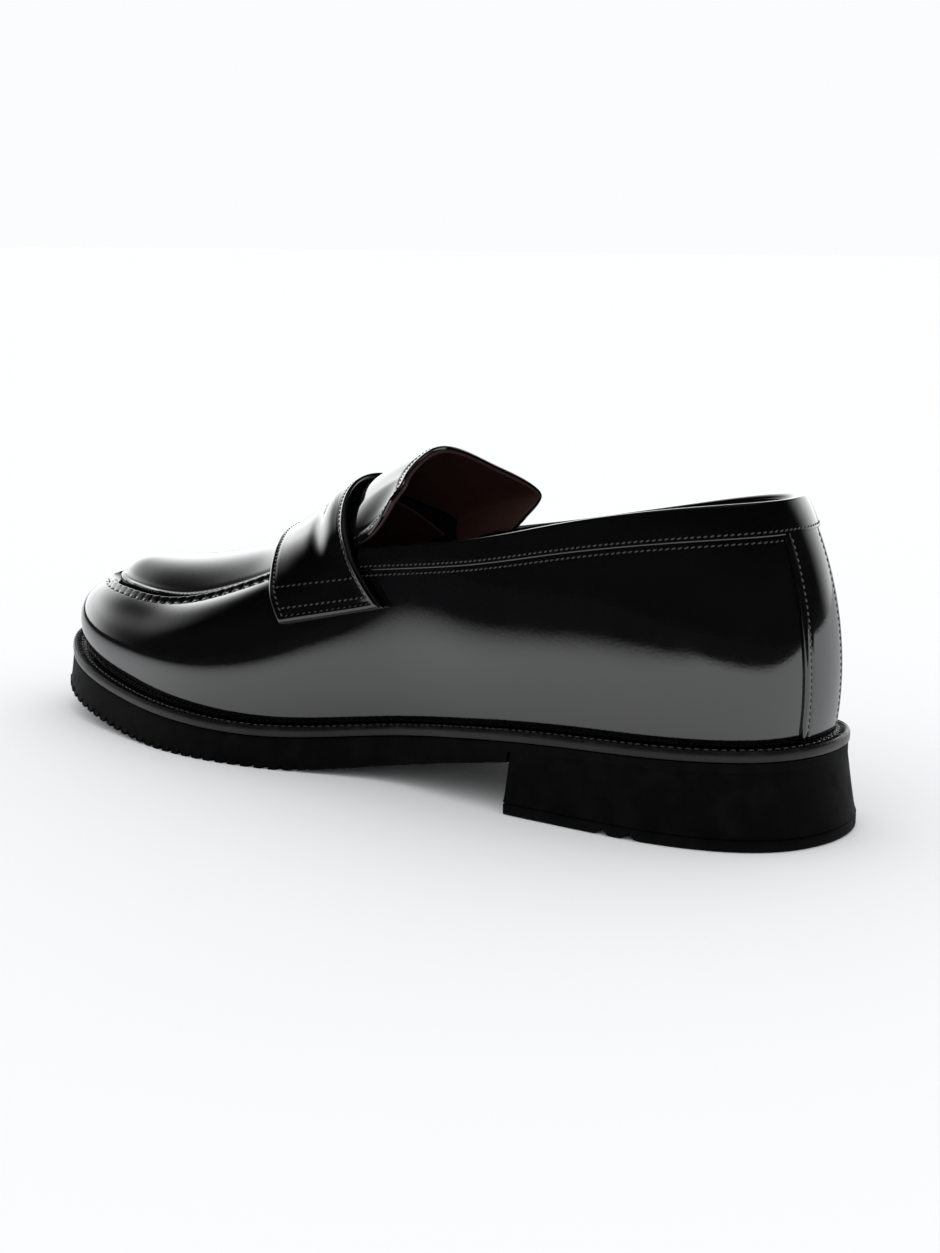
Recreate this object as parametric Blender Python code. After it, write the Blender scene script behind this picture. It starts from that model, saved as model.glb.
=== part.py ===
"""Penny loafer for the right foot, as an assembly of separate pieces.

Every size below is in millimetres, and MM turns it into Blender's metres when a mesh is made.
The toe points to -Y, the heel to +Y, and the inner (big toe) side is +X.
The shoe stands on z = 0, and an empty centres the whole assembly over the origin.
"""

import math

import bpy
import numpy as np
from mathutils import Vector
from mathutils.bvhtree import BVHTree

MM = 0.001

# Overall sizes
SHOE_LENGTH = 310.5
BALL_WIDTH = 102.0
HEEL_HEIGHT = 29.5
COLLAR_HEIGHT = 69.0

# Sole unit
WELT_THICKNESS = 3.4
WELT_WIDTH = 17.0
HEEL_SEAT_THICKNESS = 2.8
TOP_LIFT_THICKNESS = 3.6
HEEL_BREAST = 68.0
HEEL_FLARE = 2.8
SOLE_FLARE = 1.8
FLARE_FADE = 14.0
TREAD_PITCH = 5.0
TREAD_DEPTH = 1.3
TREAD_GROOVE = 2.0
TREAD_BACK = -8.0
TREAD_FRONT = -148.0
INSOLE_THICKNESS = 2.2
SOCK_THICKNESS = 1.1
CUSHION_THICKNESS = 2.0
CUSHION_FRONT = 84.0
CUSHION_RAMP = 22.0
SHANK_LENGTH = 96.0
SHANK_WIDTH = 15.0
SHANK_THICKNESS = 1.4
SHANK_FRONT = -18.0
NAIL_DIAMETER = 2.0
NAIL_HEAD_DIAMETER = 5.0
NAIL_HEAD_THICKNESS = 0.7
NAIL_GRIP = 11.0
NAIL_MIDDLE = 112.0
NAIL_SPREAD = (13.0, 17.0)

# Upper
FEATHER_INSET = 5.0
BELLY_INSET = 2.8
LEATHER = 1.4
STIFFENER = 0.8
LINING = 1.0
OVERLAY = 1.1
COLLAR_SEAM = 0.80
BACK_STRIP_STEPS = 1
COUNTER_FRONT = 92.0
PUFF_BACK = -104.0
APRON_BACK = -4.6
APRON_BOW = 14.5
APRON_BOW_START = -64.0
THROAT = 3.0
HEEL_LINING_FRONT = 112.0
STRAP_LIFT = 0.7
STRAP_LEATHER = 1.5
STRAP_BACKING = 0.9
STRAP_SWING = 83.0
STRAP_FRONT = (-51.5, 31.0)
STRAP_BACK = (-16.8, 33.0)
STRAP_CENTRE_HEIGHT = 45.0
SLOT_LENGTH = 24.0
SLOT_WIDTH = 5.0
TONGUE_LEATHER = 1.3
TONGUE_LINING = 0.9
TONGUE_MARGIN = (0.0, 10.0, 4.8)
TONGUE_TREE_REACH = 1.12
TONGUE_ARCH = 1.2
TONGUE_HINGE_DROP = 2.5

# Fits
GAP = 0.3
EDGE_GAP = 0.8
NAIL_CLEARANCE = 0.35

# Mesh steps
AROUND = 72
WALL_ROWS = (0.0, 0.14, 0.30, 0.46, 0.58, 0.70, COLLAR_SEAM, 0.90, 1.0)
SEAM_ROW = WALL_ROWS.index(COLLAR_SEAM)

# Sole edge in plan, and the upper's top edge above it, from the back of the heel
# round the inner side to the toe and back along the outer side:
# edge x, edge y, top x, top y, height of the top above the feather line, shoulder share.
LAST_TABLE = (
    (-1.0, 158.0, -1.0, 139.8, 69.0, 0.48),
    (21.0, 151.0, 16.0, 134.8, 69.0, 0.48),
    (34.0, 129.0, 26.0, 116.0, 67.5, 0.45),
    (38.0, 92.0, 31.0, 84.0, 63.0, 0.42),
    (37.5, 50.0, 32.0, 50.0, 58.5, 0.42),
    (35.0, 16.0, 30.5, 14.0, 57.5, 0.55),
    (46.5, -22.0, 29.5, -16.0, 54.5, 0.70),
    (52.0, -58.0, 29.0, -48.0, 42.0, 0.80),
    (46.0, -96.0, 29.0, -82.0, 30.5, 0.85),
    (35.0, -128.5, 23.0, -112.0, 25.0, 0.85),
    (10.0, -152.5, 7.5, -135.0, 20.0, 0.85),
    (-18.0, -148.0, -14.0, -132.0, 20.5, 0.85),
    (-39.0, -118.0, -28.0, -107.0, 25.5, 0.85),
    (-50.0, -76.0, -33.0, -78.0, 31.5, 0.85),
    (-47.5, -38.0, -32.0, -46.0, 42.5, 0.80),
    (-39.0, 2.0, -31.0, -10.0, 54.0, 0.70),
    (-35.0, 42.0, -32.0, 38.0, 57.5, 0.45),
    (-36.0, 88.0, -31.0, 82.0, 62.0, 0.42),
    (-34.5, 127.0, -26.5, 115.0, 67.0, 0.45),
    (-22.0, 151.0, -17.0, 134.8, 69.0, 0.48),
)
# Height of the welt's top and of the forepart's underside along the shoe: y, z.
WELT_LINE = ((-156, 28.4), (-150, 26.6), (-120, 20.2), (-90, 16.2), (-60, 14.4),
             (-20, 14.2), (20, 19.0), (60, 24.6), (100, 27.3), (156, 29.5))
UNDERSIDE_LINE = ((-156, 12.0), (-150, 10.4), (-120, 5.0), (-90, 1.2), (-70, 0.0),
                  (-20, 0.0), (20, 6.0), (60, 14.2), (80, 17.0))
# Crest of the apron and of the instep under the strap: y, z.
CREST_LINE = ((-140, 50.5), (-130, 54.5), (-118, 56.3), (-100, 58.2), (-80, 61.8),
              (-60, 66.5), (-44, 71.8), (-30, 81.5), (-17, 89.5), (14, 105.0))

# The tongue's root under the strap and its free edge, from the outer side to the inner
# side: place across, then x, y, z.
TONGUE_ROOT = ((-1.0, -26.0, -7.0, 80.0), (-0.66, -18.4, -12.6, 84.8),
               (-0.33, -9.6, -16.6, 88.6), (0.0, 0.0, -18.2, 90.0), (0.33, 9.6, -16.6, 88.6),
               (0.66, 18.4, -12.6, 84.8), (1.0, 26.0, -7.0, 80.0))
TONGUE_EDGE = ((-1.0, -32.0, 28.0, 86.4), (-0.66, -22.0, 20.5, 96.6),
               (-0.33, -11.0, 15.5, 102.3), (0.0, 0.0, 13.2, 105.2), (0.33, 10.5, 13.2, 103.6),
               (0.66, 19.5, 13.8, 98.9), (1.0, 28.5, 16.5, 94.0))

for old in list(bpy.data.objects):
    bpy.data.objects.remove(old)
collection = bpy.data.collections.new("penny_loafer")
cutters = bpy.data.collections.new("penny_loafer_cutters")
frame = bpy.data.objects.new("penny_loafer_frame", None)
tongue_hinge = bpy.data.objects.new("tongue_hinge", None)
bpy.context.scene.collection.children.link(collection)
bpy.context.scene.collection.children.link(cutters)
collection.objects.link(frame)
collection.objects.link(tongue_hinge)


# ---------- curves ----------

def spline_slopes(knots, values, closed):
    """Slopes of the cubic pieces through the values, which agree in slope and in bend."""
    count = len(values)
    step = np.diff(knots)
    rise = np.diff(values, axis=0) if not closed else np.roll(values, -1, 0) - values
    matrix = np.zeros((count, count))
    right = np.zeros_like(values)
    for i in range(count):
        if not closed and i in (0, count - 1):
            near, other = (0, 1) if i == 0 else (count - 2, count - 2)
            matrix[i, i] = 2.0
            matrix[i, other] = 1.0
            right[i] = 3 * rise[near] / step[near]
            continue
        before, ahead = step[i - 1], step[i]
        matrix[i, i - 1] += 1 / before
        matrix[i, i] += 2 / before + 2 / ahead
        matrix[i, (i + 1) % count] += 1 / ahead
        right[i] = 3 * (rise[i - 1] / before**2 + rise[i] / ahead**2)
    return np.linalg.solve(matrix, right)


def spline(knots, values, where, closed=False):
    """Smooth curve through the values at the knots, read at the places in where."""
    knots, values = np.asarray(knots, float), np.asarray(values, float)
    flat = values.ndim == 1
    if flat:
        values = values[:, None]
    slopes = spline_slopes(knots, values, closed)
    where = np.atleast_1d(np.asarray(where, float))
    piece = np.clip(np.searchsorted(knots, where, "right") - 1, 0, len(knots) - 2)
    after = (piece + 1) % len(values)
    step = (knots[piece + 1] - knots[piece])[:, None]
    t = (where - knots[piece])[:, None] / step
    start, end = values[piece], values[after]
    result = (start * (1 + 2 * t) * (1 - t)**2 + end * t * t * (3 - 2 * t)
              + step * (slopes[piece] * t * (1 - t)**2 - slopes[after] * t * t * (1 - t)))
    return result[:, 0] if flat else result


def scaled_table():
    """The last's table at the wanted length and width."""
    table = np.array(LAST_TABLE)
    along = SHOE_LENGTH / (table[:, 1].max() - table[:, 1].min())
    across = BALL_WIDTH / (table[:, 0].max() - table[:, 0].min())
    table[:, [1, 3]] *= along
    table[:, [0, 2]] *= across
    table[:, 4] *= COLLAR_HEIGHT / table[:, 4].max()
    return table, along, across


TABLE, ALONG, ACROSS = scaled_table()
HEEL_RISE = HEEL_HEIGHT / WELT_LINE[-1][1]
COLLAR_LIFT = COLLAR_HEIGHT - LAST_TABLE[0][4]


def line(points, y):
    """Height along the shoe, read from points of (y, z)."""
    places, heights = np.array(points, float).T
    return spline(places * ALONG, heights, y)


def welt_top(y):
    """The welt's top, which the heel height lifts behind the ball."""
    y = np.asarray(y, float)
    lift = np.clip((y / ALONG + 20.0) / 120.0, 0.0, 1.0)
    return line(WELT_LINE, y) * (1 + (HEEL_RISE - 1) * lift)


def underside(y):
    y = np.asarray(y, float)
    lift = np.clip((y / ALONG + 20.0) / 120.0, 0.0, 1.0)
    return np.maximum(line(UNDERSIDE_LINE, y), 0.0) * (1 + (HEEL_RISE - 1) * lift)


def crest(y):
    return line(CREST_LINE, y) + COLLAR_LIFT


def loop_rows(count):
    """The table read at even steps round the loop, and the outward direction in plan."""
    ring = np.vstack([TABLE, TABLE[:1]])
    knots = np.concatenate([[0.0], np.cumsum(np.hypot(*np.diff(ring[:, :2], axis=0).T))])
    places = np.arange(count) * knots[-1] / count
    rows = spline(knots, TABLE, places, closed=True)
    ahead = np.roll(rows[:, :2], -1, 0) - np.roll(rows[:, :2], 1, 0)
    outward = np.stack([-ahead[:, 1], ahead[:, 0]], axis=1)
    outward /= np.linalg.norm(outward, axis=1)[:, None]
    return rows, outward


def edge_loop(inset, count=720):
    rows, outward = loop_rows(count)
    return rows[:, :2] - inset * outward


def edge_x(y, inset):
    """Outer-side and inner-side x of the sole edge, moved in by inset, at each y."""
    loop = edge_loop(inset)
    toe = int(np.argmin(loop[:, 1]))
    heel = int(np.argmax(np.roll(loop[:, 1], 360))) - 360
    inner = loop[np.arange(heel, toe + 1) % len(loop)]
    outer = loop[np.arange(toe, len(loop) + heel + 1) % len(loop)]
    right = np.interp(-y, -inner[:, 1], inner[:, 0])
    left = np.interp(y, outer[:, 1], outer[:, 0])
    return left, right


def edge_ends(inset):
    """Toe and heel ends of the sole edge, moved in by inset."""
    loop = edge_loop(inset)
    return loop[:, 1].min() + 0.12, loop[:, 1].max() - 0.12


# ---------- making objects ----------

def material(name, colour, roughness, metallic=0.0):
    made = bpy.data.materials.get(name) or bpy.data.materials.new(name)
    made.use_nodes = True
    shader = made.node_tree.nodes["Principled BSDF"]
    shader.inputs["Base Color"].default_value = (*colour, 1.0)
    shader.inputs["Roughness"].default_value = roughness
    shader.inputs["Metallic"].default_value = metallic
    return made


def finish(name, mesh, finish_material, parent=None, smooth=True):
    """Adds a mesh in millimetres as one object of the shoe."""
    mesh.materials.append(finish_material)
    if smooth:
        mesh.shade_smooth()
        mesh.set_sharp_from_angle(angle=math.radians(40))
    made = bpy.data.objects.new(name, mesh)
    collection.objects.link(made)
    made.parent = parent or frame
    return made


def mesh_of(name, points, faces, origin=(0, 0, 0)):
    mesh = bpy.data.meshes.new(name)
    mesh.from_pydata((np.asarray(points) - np.asarray(origin)) * MM, [], faces)
    mesh.validate()
    return mesh


def shell(name, outer, inner, finish_material, ring=False, **place):
    """Closed wall between two grids of the same size, with rims along their edges."""
    rows, columns = outer.shape[:2]
    points = np.concatenate([outer.reshape(-1, 3), inner.reshape(-1, 3)])
    below = rows * columns
    faces = []
    steps = rows if ring else rows - 1
    for i in range(steps):
        nxt = (i + 1) % rows
        for j in range(columns - 1):
            a, b = i * columns + j, nxt * columns + j
            faces.append((a, a + 1, b + 1, b))
            faces.append((below + a, below + b, below + b + 1, below + a + 1))
        for j, flip in ((0, False), (columns - 1, True)):
            a, b = i * columns + j, nxt * columns + j
            rim = (a, b, below + b, below + a)
            faces.append(rim[::-1] if flip else rim)
    if not ring:
        for i, flip in ((0, True), (rows - 1, False)):
            for j in range(columns - 1):
                a = i * columns + j
                rim = (a, a + 1, below + a + 1, below + a)
                faces.append(rim[::-1] if flip else rim)
    return finish(name, mesh_of(name, points, faces, place.pop("origin", (0, 0, 0))),
                  finish_material, **place)


def plate(name, share, insets_top, insets_bottom, top, bottom, finish_material):
    """Solid between two heights, whose sides follow the sole edge. Each pair of insets is
    the forepart's and the heel's, and share runs from the toe's end to the heel's end."""
    corners = []
    for insets, height in ((insets_top, top), (insets_bottom, bottom)):
        y, left, right = sole_sides(share, insets)
        z = height(y)
        corners += [(left, y, z), (right, y, z)]
    low_first = (corners[2], corners[3], corners[1], corners[0])
    points = np.stack([np.stack(corner, 1) for corner in low_first], 1).reshape(-1, 3)
    faces = [(0, 1, 2, 3), tuple(4 * (len(share) - 1) + np.array((3, 2, 1, 0)))]
    for k in range(len(share) - 1):
        for j in range(4):
            a, b = 4 * k + j, 4 * k + (j + 1) % 4
            faces.append((a, a + 4, b + 4, b))
    return finish(name, mesh_of(name, points, [tuple(map(int, f)) for f in faces]),
                  finish_material)


def sole_sides(share, insets):
    """y, outer-side x and inner-side x at shares of the sole's length, where the inset
    changes from the forepart's to the heel's just ahead of the heel."""
    toe, _ = edge_ends(insets[0])
    _, heel = edge_ends(insets[1])
    y = toe + share * (heel - toe)
    t = np.clip((y / ALONG - HEEL_BREAST + FLARE_FADE) / FLARE_FADE, 0, 1)
    sides = [(1 - t) * fore + t * back
             for fore, back in zip(edge_x(y, insets[0]), edge_x(y, insets[1]))]
    return y, *sides


def spread(low, high, count, round_low=True, round_high=True):
    """Places from low to high, closer together at a round end."""
    t = np.linspace(0, 1, count)
    if round_low and round_high:
        t = (1 - np.cos(math.pi * t)) / 2
    elif round_high:
        t = np.sin(math.pi / 2 * t)
    elif round_low:
        t = 1 - np.cos(math.pi / 2 * t)
    return low + (high - low) * t


def cutter_from(name, mesh):
    made = bpy.data.objects.new(name, mesh)
    cutters.objects.link(made)
    made.parent = frame
    made.hide_render = True
    made.display_type = "WIRE"
    return made


def cut(target, cutter):
    modifier = target.modifiers.new(cutter.name, "BOOLEAN")
    modifier.operation = "DIFFERENCE"
    modifier.object = cutter


# ---------- the upper's shape ----------

def wall_grid():
    """Outer face of the upper's wall: a cubic curve from the feather line to the top edge at
    each step round the loop. Its second point leans out to the belly and its third to the
    shoulder. Gives the points and the outward normals."""
    rows, outward = loop_rows(AROUND)
    edge, top = rows[:, :2], rows[:, 2:4]
    base = welt_top(edge[:, 1]) + GAP
    height = rows[:, 4] + welt_top(edge[:, 1]) - base
    feather = np.column_stack([edge - FEATHER_INSET * outward, base])
    peak = np.column_stack([top, base + height])
    belly_edge = edge - (2 * BELLY_INSET - FEATHER_INSET) * outward
    belly = np.column_stack([belly_edge, base + 0.42 * height])
    share = rows[:, 5:6]
    shoulder_edge = top + share * (belly_edge - top)
    drop = 0.30 - 0.20 * share[:, 0]
    shoulder = np.column_stack([shoulder_edge, base + (1 - drop) * height])
    v = np.array(WALL_ROWS)[None, :, None]
    points = (feather[:, None] * (1 - v)**3 + 3 * belly[:, None] * v * (1 - v)**2
              + 3 * shoulder[:, None] * v * v * (1 - v) + peak[:, None] * v**3)
    along = np.roll(points, -1, 0) - np.roll(points, 1, 0)
    up = np.gradient(points, axis=1)
    normal = np.cross(up, along)
    normal[:, 0, 2] = 0.0
    normal /= np.linalg.norm(normal, axis=2)[..., None]
    return points, normal


WALL, WALL_NORMAL = wall_grid()


def wall_at(distance, rows=slice(None), steps=None):
    """The wall's grid moved out by distance, at some of its steps and rows."""
    grid = WALL + distance * WALL_NORMAL
    grid[:, 0, 2] = WALL[:, 0, 2]
    grid = grid[:, rows]
    return grid if steps is None else grid[np.asarray(steps) % AROUND]


def offset_sheet(grid, distance):
    """A sheet that faces up, moved out by distance."""
    normal = np.cross(np.gradient(grid, axis=1), np.gradient(grid, axis=0))
    normal /= np.linalg.norm(normal, axis=2)[..., None]
    return grid + distance * normal


def apron_grid(distance, across=13):
    """The apron: cross rows from the toe back to the strap, domed up to the crest. Under the
    strap the rows bow forward in the middle, as the root of the tongue does."""
    half = AROUND // 2
    _, outward = loop_rows(AROUND)
    edge = WALL[:, -1] - np.column_stack([(LEATHER + GAP) * outward, np.zeros(AROUND)])
    a = np.linspace(-1, 1, across)
    toe = edge[[half + 1, half, half - 1]]
    rows = [np.column_stack([np.interp(a, (-1, 0, 1), toe[:, c]) for c in range(3)])]
    for low, high in apron_ends(edge, half):
        row = low + (a[:, None] + 1) / 2 * (high - low)
        back = np.clip((low[1] / ALONG - APRON_BOW_START) / (APRON_BACK - APRON_BOW_START), 0, 1)
        row[:, 1] -= APRON_BOW * ALONG * back**1.5 * (1 - a * a)
        rise = crest(row[across // 2, 1])[0] - row[:, 2].mean()
        row[:, 2] += rise * (1 - np.abs(a)**2.2)
        rows.append(row)
    return offset_sheet(np.array(rows), distance)


def apron_ends(edge, half):
    """Pairs of facing points on the apron's edge, the last pair at its back."""
    outer, inner = edge[half + 2:], edge[half - 2:0:-1]
    pairs = [(low, high) for low, high in zip(outer, inner)
             if max(low[1], high[1]) < (APRON_BACK - 2.0) * ALONG]
    last = APRON_BACK * ALONG
    ends = [np.array([np.interp(last, side[:, 1], side[:, c]) for c in range(3)])
            for side in (outer[:len(pairs) + 3], inner[:len(pairs) + 3])]
    return pairs + [ends]


def tongue_curve(table, a):
    """Points of one of the tongue's curves at the places a across it."""
    table = np.array(table)
    points = spline(table[:, 0], table[:, 1:], a)
    points[:, 0] *= ACROSS
    points[:, 1] *= ALONG
    points[:, 2] += COLLAR_LIFT
    return points[None]


def tongue_grid(distance, reach=1.0, across=17, along=6):
    """The tongue: runs from its root curve, under the strap, to its free edge, with a low
    arch between them."""
    a = np.linspace(-reach, reach, across)
    s = np.linspace(0, 1, along)[:, None]
    root, edge = tongue_curve(TONGUE_ROOT, a), tongue_curve(TONGUE_EDGE, a)
    grid = root + s[..., None] * (edge - root)
    grid[..., 2] += TONGUE_ARCH * np.sin(math.pi * s)
    return offset_sheet(grid, distance)


def grid_faces(rows, columns, start, ring):
    return [(start + i * columns + j, start + i * columns + j + 1,
             start + (i + 1) % rows * columns + j + 1, start + (i + 1) % rows * columns + j)
            for i in range(rows if ring else rows - 1) for j in range(columns - 1)]


def instep_tree():
    """Search tree of the faces that the strap lies over."""
    collar = wall_at(GAP + OVERLAY, slice(SEAM_ROW, None), heel_steps(THROAT))
    tongue = tongue_grid(0.0, reach=TONGUE_TREE_REACH)
    margin = np.stack([tongue[0] - np.array(TONGUE_MARGIN), tongue[0]])
    grids = ((WALL, True), (collar, False), (apron_grid(0.0), False), (margin, False),
             (tongue, False))
    points, faces = [], []
    for grid, ring in grids:
        faces += grid_faces(*grid.shape[:2], start=sum(map(len, points)), ring=ring)
        points.append(grid.reshape(-1, 3))
    return BVHTree.FromPolygons([Vector(p) for p in np.concatenate(points)], faces)


def farthest_hit(tree, spot, way):
    """Distance from the spot to the last face that a ray meets."""
    reach = 0.0
    hit = tree.ray_cast(spot, way)
    while hit[0] is not None:
        reach = (hit[0] - spot).length
        hit = tree.ray_cast(spot + way * (reach + 0.01), way)
    return reach


def strap_fan(tree, across=27, along=5):
    """Rays from the middle of the shoe, fanned from the outer side over the crest to the
    inner side, and how far each reaches. Leather pulled tight bridges the hollows."""
    a = np.linspace(-1, 1, across)
    front = (STRAP_FRONT[0] + STRAP_FRONT[1] * np.abs(a)**1.4) * ALONG
    back = (STRAP_BACK[0] + STRAP_BACK[1] * np.abs(a)**1.5) * ALONG
    angle = math.radians(STRAP_SWING) * a
    share = np.linspace(0, 1, along)[:, None]
    start = np.stack([0 * share + 0 * a, front + share * (back - front),
                      STRAP_CENTRE_HEIGHT + 9.0 * share + COLLAR_LIFT + 0 * a], 2)
    way = np.stack([np.sin(angle), 0 * a, np.cos(angle)], 1) + 0 * start
    reach = np.zeros((along, across))
    for j in range(along):
        for i in range(across):
            reach[j, i] = farthest_hit(tree, Vector(start[j, i]), Vector(way[j, i]))
        met = reach[j] > 0
        reach[j] = np.interp(a, a[met], reach[j][met])
    for _ in range(12):
        reach[:, 1:-1] = np.maximum(reach[:, 1:-1], (reach[:, :-2] + reach[:, 2:]) / 2)
    return start, way, reach


def slab(name, levels, finish_material, back=None):
    """Solid whose outline follows the sole edge. Each level is (inset, height function),
    from the bottom up. With back given, only the part behind that y is made."""
    half = AROUND // 2
    kept = range(half) if back is None else [
        k for k in range(half) if edge_loop(0.0, AROUND)[[k, -k], 1].min() > back + 3.0]
    rings = []
    for inset, height in levels:
        loop = edge_loop(inset, AROUND)
        inner, outer = loop[list(kept)], loop[[-k for k in kept[:0:-1]]]
        if back is None:
            middle = loop[half:half + 1]
        else:
            left, right = edge_x(np.array([back]), inset)
            middle = np.array([[right[0], back], [left[0], back]])
        ring = np.vstack([inner, middle, outer])
        rings.append(np.column_stack([ring, height(ring[:, 1])]))
    count = len(rings[0])
    faces = []
    for level in range(len(rings) - 1):
        for i in range(count):
            a, b = level * count + i, level * count + (i + 1) % count
            faces.append((a, a + count, b + count, b))
    strips = [(0, count - 1, 1)]
    strips += [(count - k, count - k - 1, k + 1, k) for k in range(1, (count - 1) // 2)]
    if back is None:
        strips.append((half + 1, half, half - 1))
    for start, up in ((0, False), ((len(rings) - 1) * count, True)):
        for strip in strips:
            face = tuple(start + i for i in strip)
            faces.append(face if up else face[::-1])
    return finish(name, mesh_of(name, np.concatenate(rings), faces), finish_material)


# ---------- heights of the sole's layers ----------

def welt_bottom(y):
    return welt_top(y) - WELT_THICKNESS


def outsole_top(y):
    return welt_bottom(y) - GAP


def seat_bottom(y):
    """Underside of the outsole's thin part, over the heel."""
    return outsole_top(y) - HEEL_SEAT_THICKNESS


def heel_top(y):
    return seat_bottom(y) - GAP


def filler_top(y):
    return welt_top(y)


def insole_bottom(y):
    return filler_top(y) + GAP


def insole_top(y):
    return insole_bottom(y) + INSOLE_THICKNESS


def cushion_bottom(y):
    return insole_top(y) + GAP


def cushion_rise(y):
    """Share of the heel cushion's height, which fades in ahead of the heel."""
    t = np.clip((y / ALONG - CUSHION_FRONT + 2.0) / CUSHION_RAMP + 1.0, 0, 1)
    return t * t * (3 - 2 * t)


def sock_bottom(y):
    return insole_top(y) + GAP + cushion_rise(y) * (CUSHION_THICKNESS + GAP)


# ---------- materials ----------

black_leather = material("polished_leather", (0.012, 0.012, 0.014), 0.12)
edge_rubber = material("sole_rubber", (0.02, 0.02, 0.021), 0.62)
welt_leather = material("welt_leather", (0.03, 0.03, 0.031), 0.45)
brown_leather = material("lining_leather", (0.13, 0.05, 0.03), 0.5)
board = material("fibre_board", (0.38, 0.27, 0.17), 0.85)
cork = material("cork", (0.45, 0.28, 0.15), 0.9)
spring_steel = material("spring_steel", (0.45, 0.46, 0.48), 0.3, 1.0)
foam = material("latex_foam", (0.75, 0.70, 0.58), 0.95)


# ---------- bottom of the shoe ----------

def groove_depth(y):
    """Depth of the tread at y: flat-bottomed grooves at an even pitch."""
    place = (y - TREAD_FRONT * ALONG) % TREAD_PITCH
    inside = (place < TREAD_GROOVE) & (y > TREAD_FRONT * ALONG) & (y < TREAD_BACK * ALONG)
    return TREAD_DEPTH * inside


def tread_rows(front, back):
    """Rows across the outsole: two at each wall of a groove, and even ones behind."""
    walls = np.arange(TREAD_FRONT * ALONG, TREAD_BACK * ALONG, TREAD_PITCH)
    slope = 0.25
    rows = [front, front + 0.5, front + 1.6]
    for wall in walls:
        if wall > front + 2.0:
            rows += [wall - slope, wall + slope, wall + TREAD_GROOVE - slope,
                     wall + TREAD_GROOVE + slope]
    rows += list(np.linspace(rows[-1] + 4.0, HEEL_BREAST * ALONG, 10))
    rows += list(spread(HEEL_BREAST * ALONG + GAP, back, 14, round_low=False))
    return np.array(rows)


def outsole_bottom(y):
    """Underside of the outsole: treaded forepart and waist, then the thin heel seat."""
    return np.where(y > HEEL_BREAST * ALONG + GAP / 2, seat_bottom(y),
                    underside(y) + groove_depth(y))


def make_outsole():
    inset = EDGE_GAP / 2
    flared = (inset - SOLE_FLARE, inset)
    toe, heel = edge_ends(flared[0])[0], edge_ends(flared[1])[1]
    share = (tread_rows(toe, heel) - toe) / (heel - toe)
    return plate("outsole", share, (inset, inset), flared, outsole_top, outsole_bottom,
                 edge_rubber)


def make_heel():
    front = HEEL_BREAST * ALONG + GAP + EDGE_GAP
    lift_top = TOP_LIFT_THICKNESS + GAP
    levels = ((-HEEL_FLARE, lambda y: 0 * y + lift_top),
              (-HEEL_FLARE / 2, lambda y: (lift_top + heel_top(y)) / 2),
              (EDGE_GAP / 2, heel_top))
    heel = slab("heel_block", levels, edge_rubber, back=front)
    levels = ((1.0 - HEEL_FLARE, lambda y: 0 * y),
              (-HEEL_FLARE, lambda y: 0 * y + 1.2),
              (-HEEL_FLARE, lambda y: 0 * y + TOP_LIFT_THICKNESS))
    slab("heel_top_lift", levels, edge_rubber, back=front)
    return heel


def make_welt():
    """A flat strip all round: outer edge, top, inner edge, underside."""
    outer, inner = edge_loop(0.0, AROUND), edge_loop(WELT_WIDTH, AROUND)
    high = np.stack([np.column_stack([outer, welt_top(outer[:, 1])]),
                     np.column_stack([inner, welt_top(inner[:, 1])])], 1)
    low = high - np.array([0, 0, WELT_THICKNESS])
    shell("welt", high, low, welt_leather, ring=True)


def make_foot_bed():
    """Filler and insole between the welt and the foot, and the sock lining on top."""
    inside = FEATHER_INSET + LEATHER + STIFFENER + LINING + 2 * GAP + EDGE_GAP
    filler = slab("cork_filler", ((WELT_WIDTH + EDGE_GAP, welt_bottom),
                                  (WELT_WIDTH + EDGE_GAP, filler_top)), cork)
    insole = slab("insole_board", ((inside, insole_bottom), (inside, insole_top)), board)
    slab("heel_cushion", ((inside + 3.0, cushion_bottom),
                          (inside + 4.0, lambda y: cushion_bottom(y) + CUSHION_THICKNESS)),
         foam, back=CUSHION_FRONT * ALONG)
    slab("sock_lining", ((inside, sock_bottom),
                         (inside, lambda y: sock_bottom(y) + SOCK_THICKNESS)),
         brown_leather)
    return filler, insole


def box_mesh(name, rows):
    """A bent bar: each row is (y, half width, bottom, top)."""
    y, half, low, high = (np.array(column, float) for column in zip(*rows))
    corners = ((-half, low), (half, low), (half, high), (-half, high))
    points = np.stack([np.stack([x, y, z], 1) for x, z in corners], 1).reshape(-1, 3)
    faces = [(0, 1, 2, 3), tuple(4 * (len(y) - 1) + i for i in (3, 2, 1, 0))]
    for k in range(len(y) - 1):
        for j in range(4):
            a, b = 4 * k + j, 4 * k + (j + 1) % 4
            faces.append((a, a + 4, b + 4, b))
    return mesh_of(name, points, faces)


def shank_rows(clearance):
    """The shank's bar, or the pocket for it when a clearance is given."""
    front = SHANK_FRONT * ALONG - clearance
    back = (SHANK_FRONT + SHANK_LENGTH) * ALONG + clearance
    rows = []
    for y in np.linspace(front, back, 9):
        top = float(filler_top(y)[0]) if clearance == 0 else float(filler_top(y)[0]) + 2.0
        bottom = float(filler_top(y)[0]) - SHANK_THICKNESS - clearance
        rows.append((y, SHANK_WIDTH / 2 + clearance, bottom, top))
    return rows


def make_shank(filler):
    finish("shank", box_mesh("shank", shank_rows(0)), spring_steel, smooth=False)
    cut(filler, cutter_from("shank_pocket", box_mesh("shank_pocket", shank_rows(GAP))))


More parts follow.
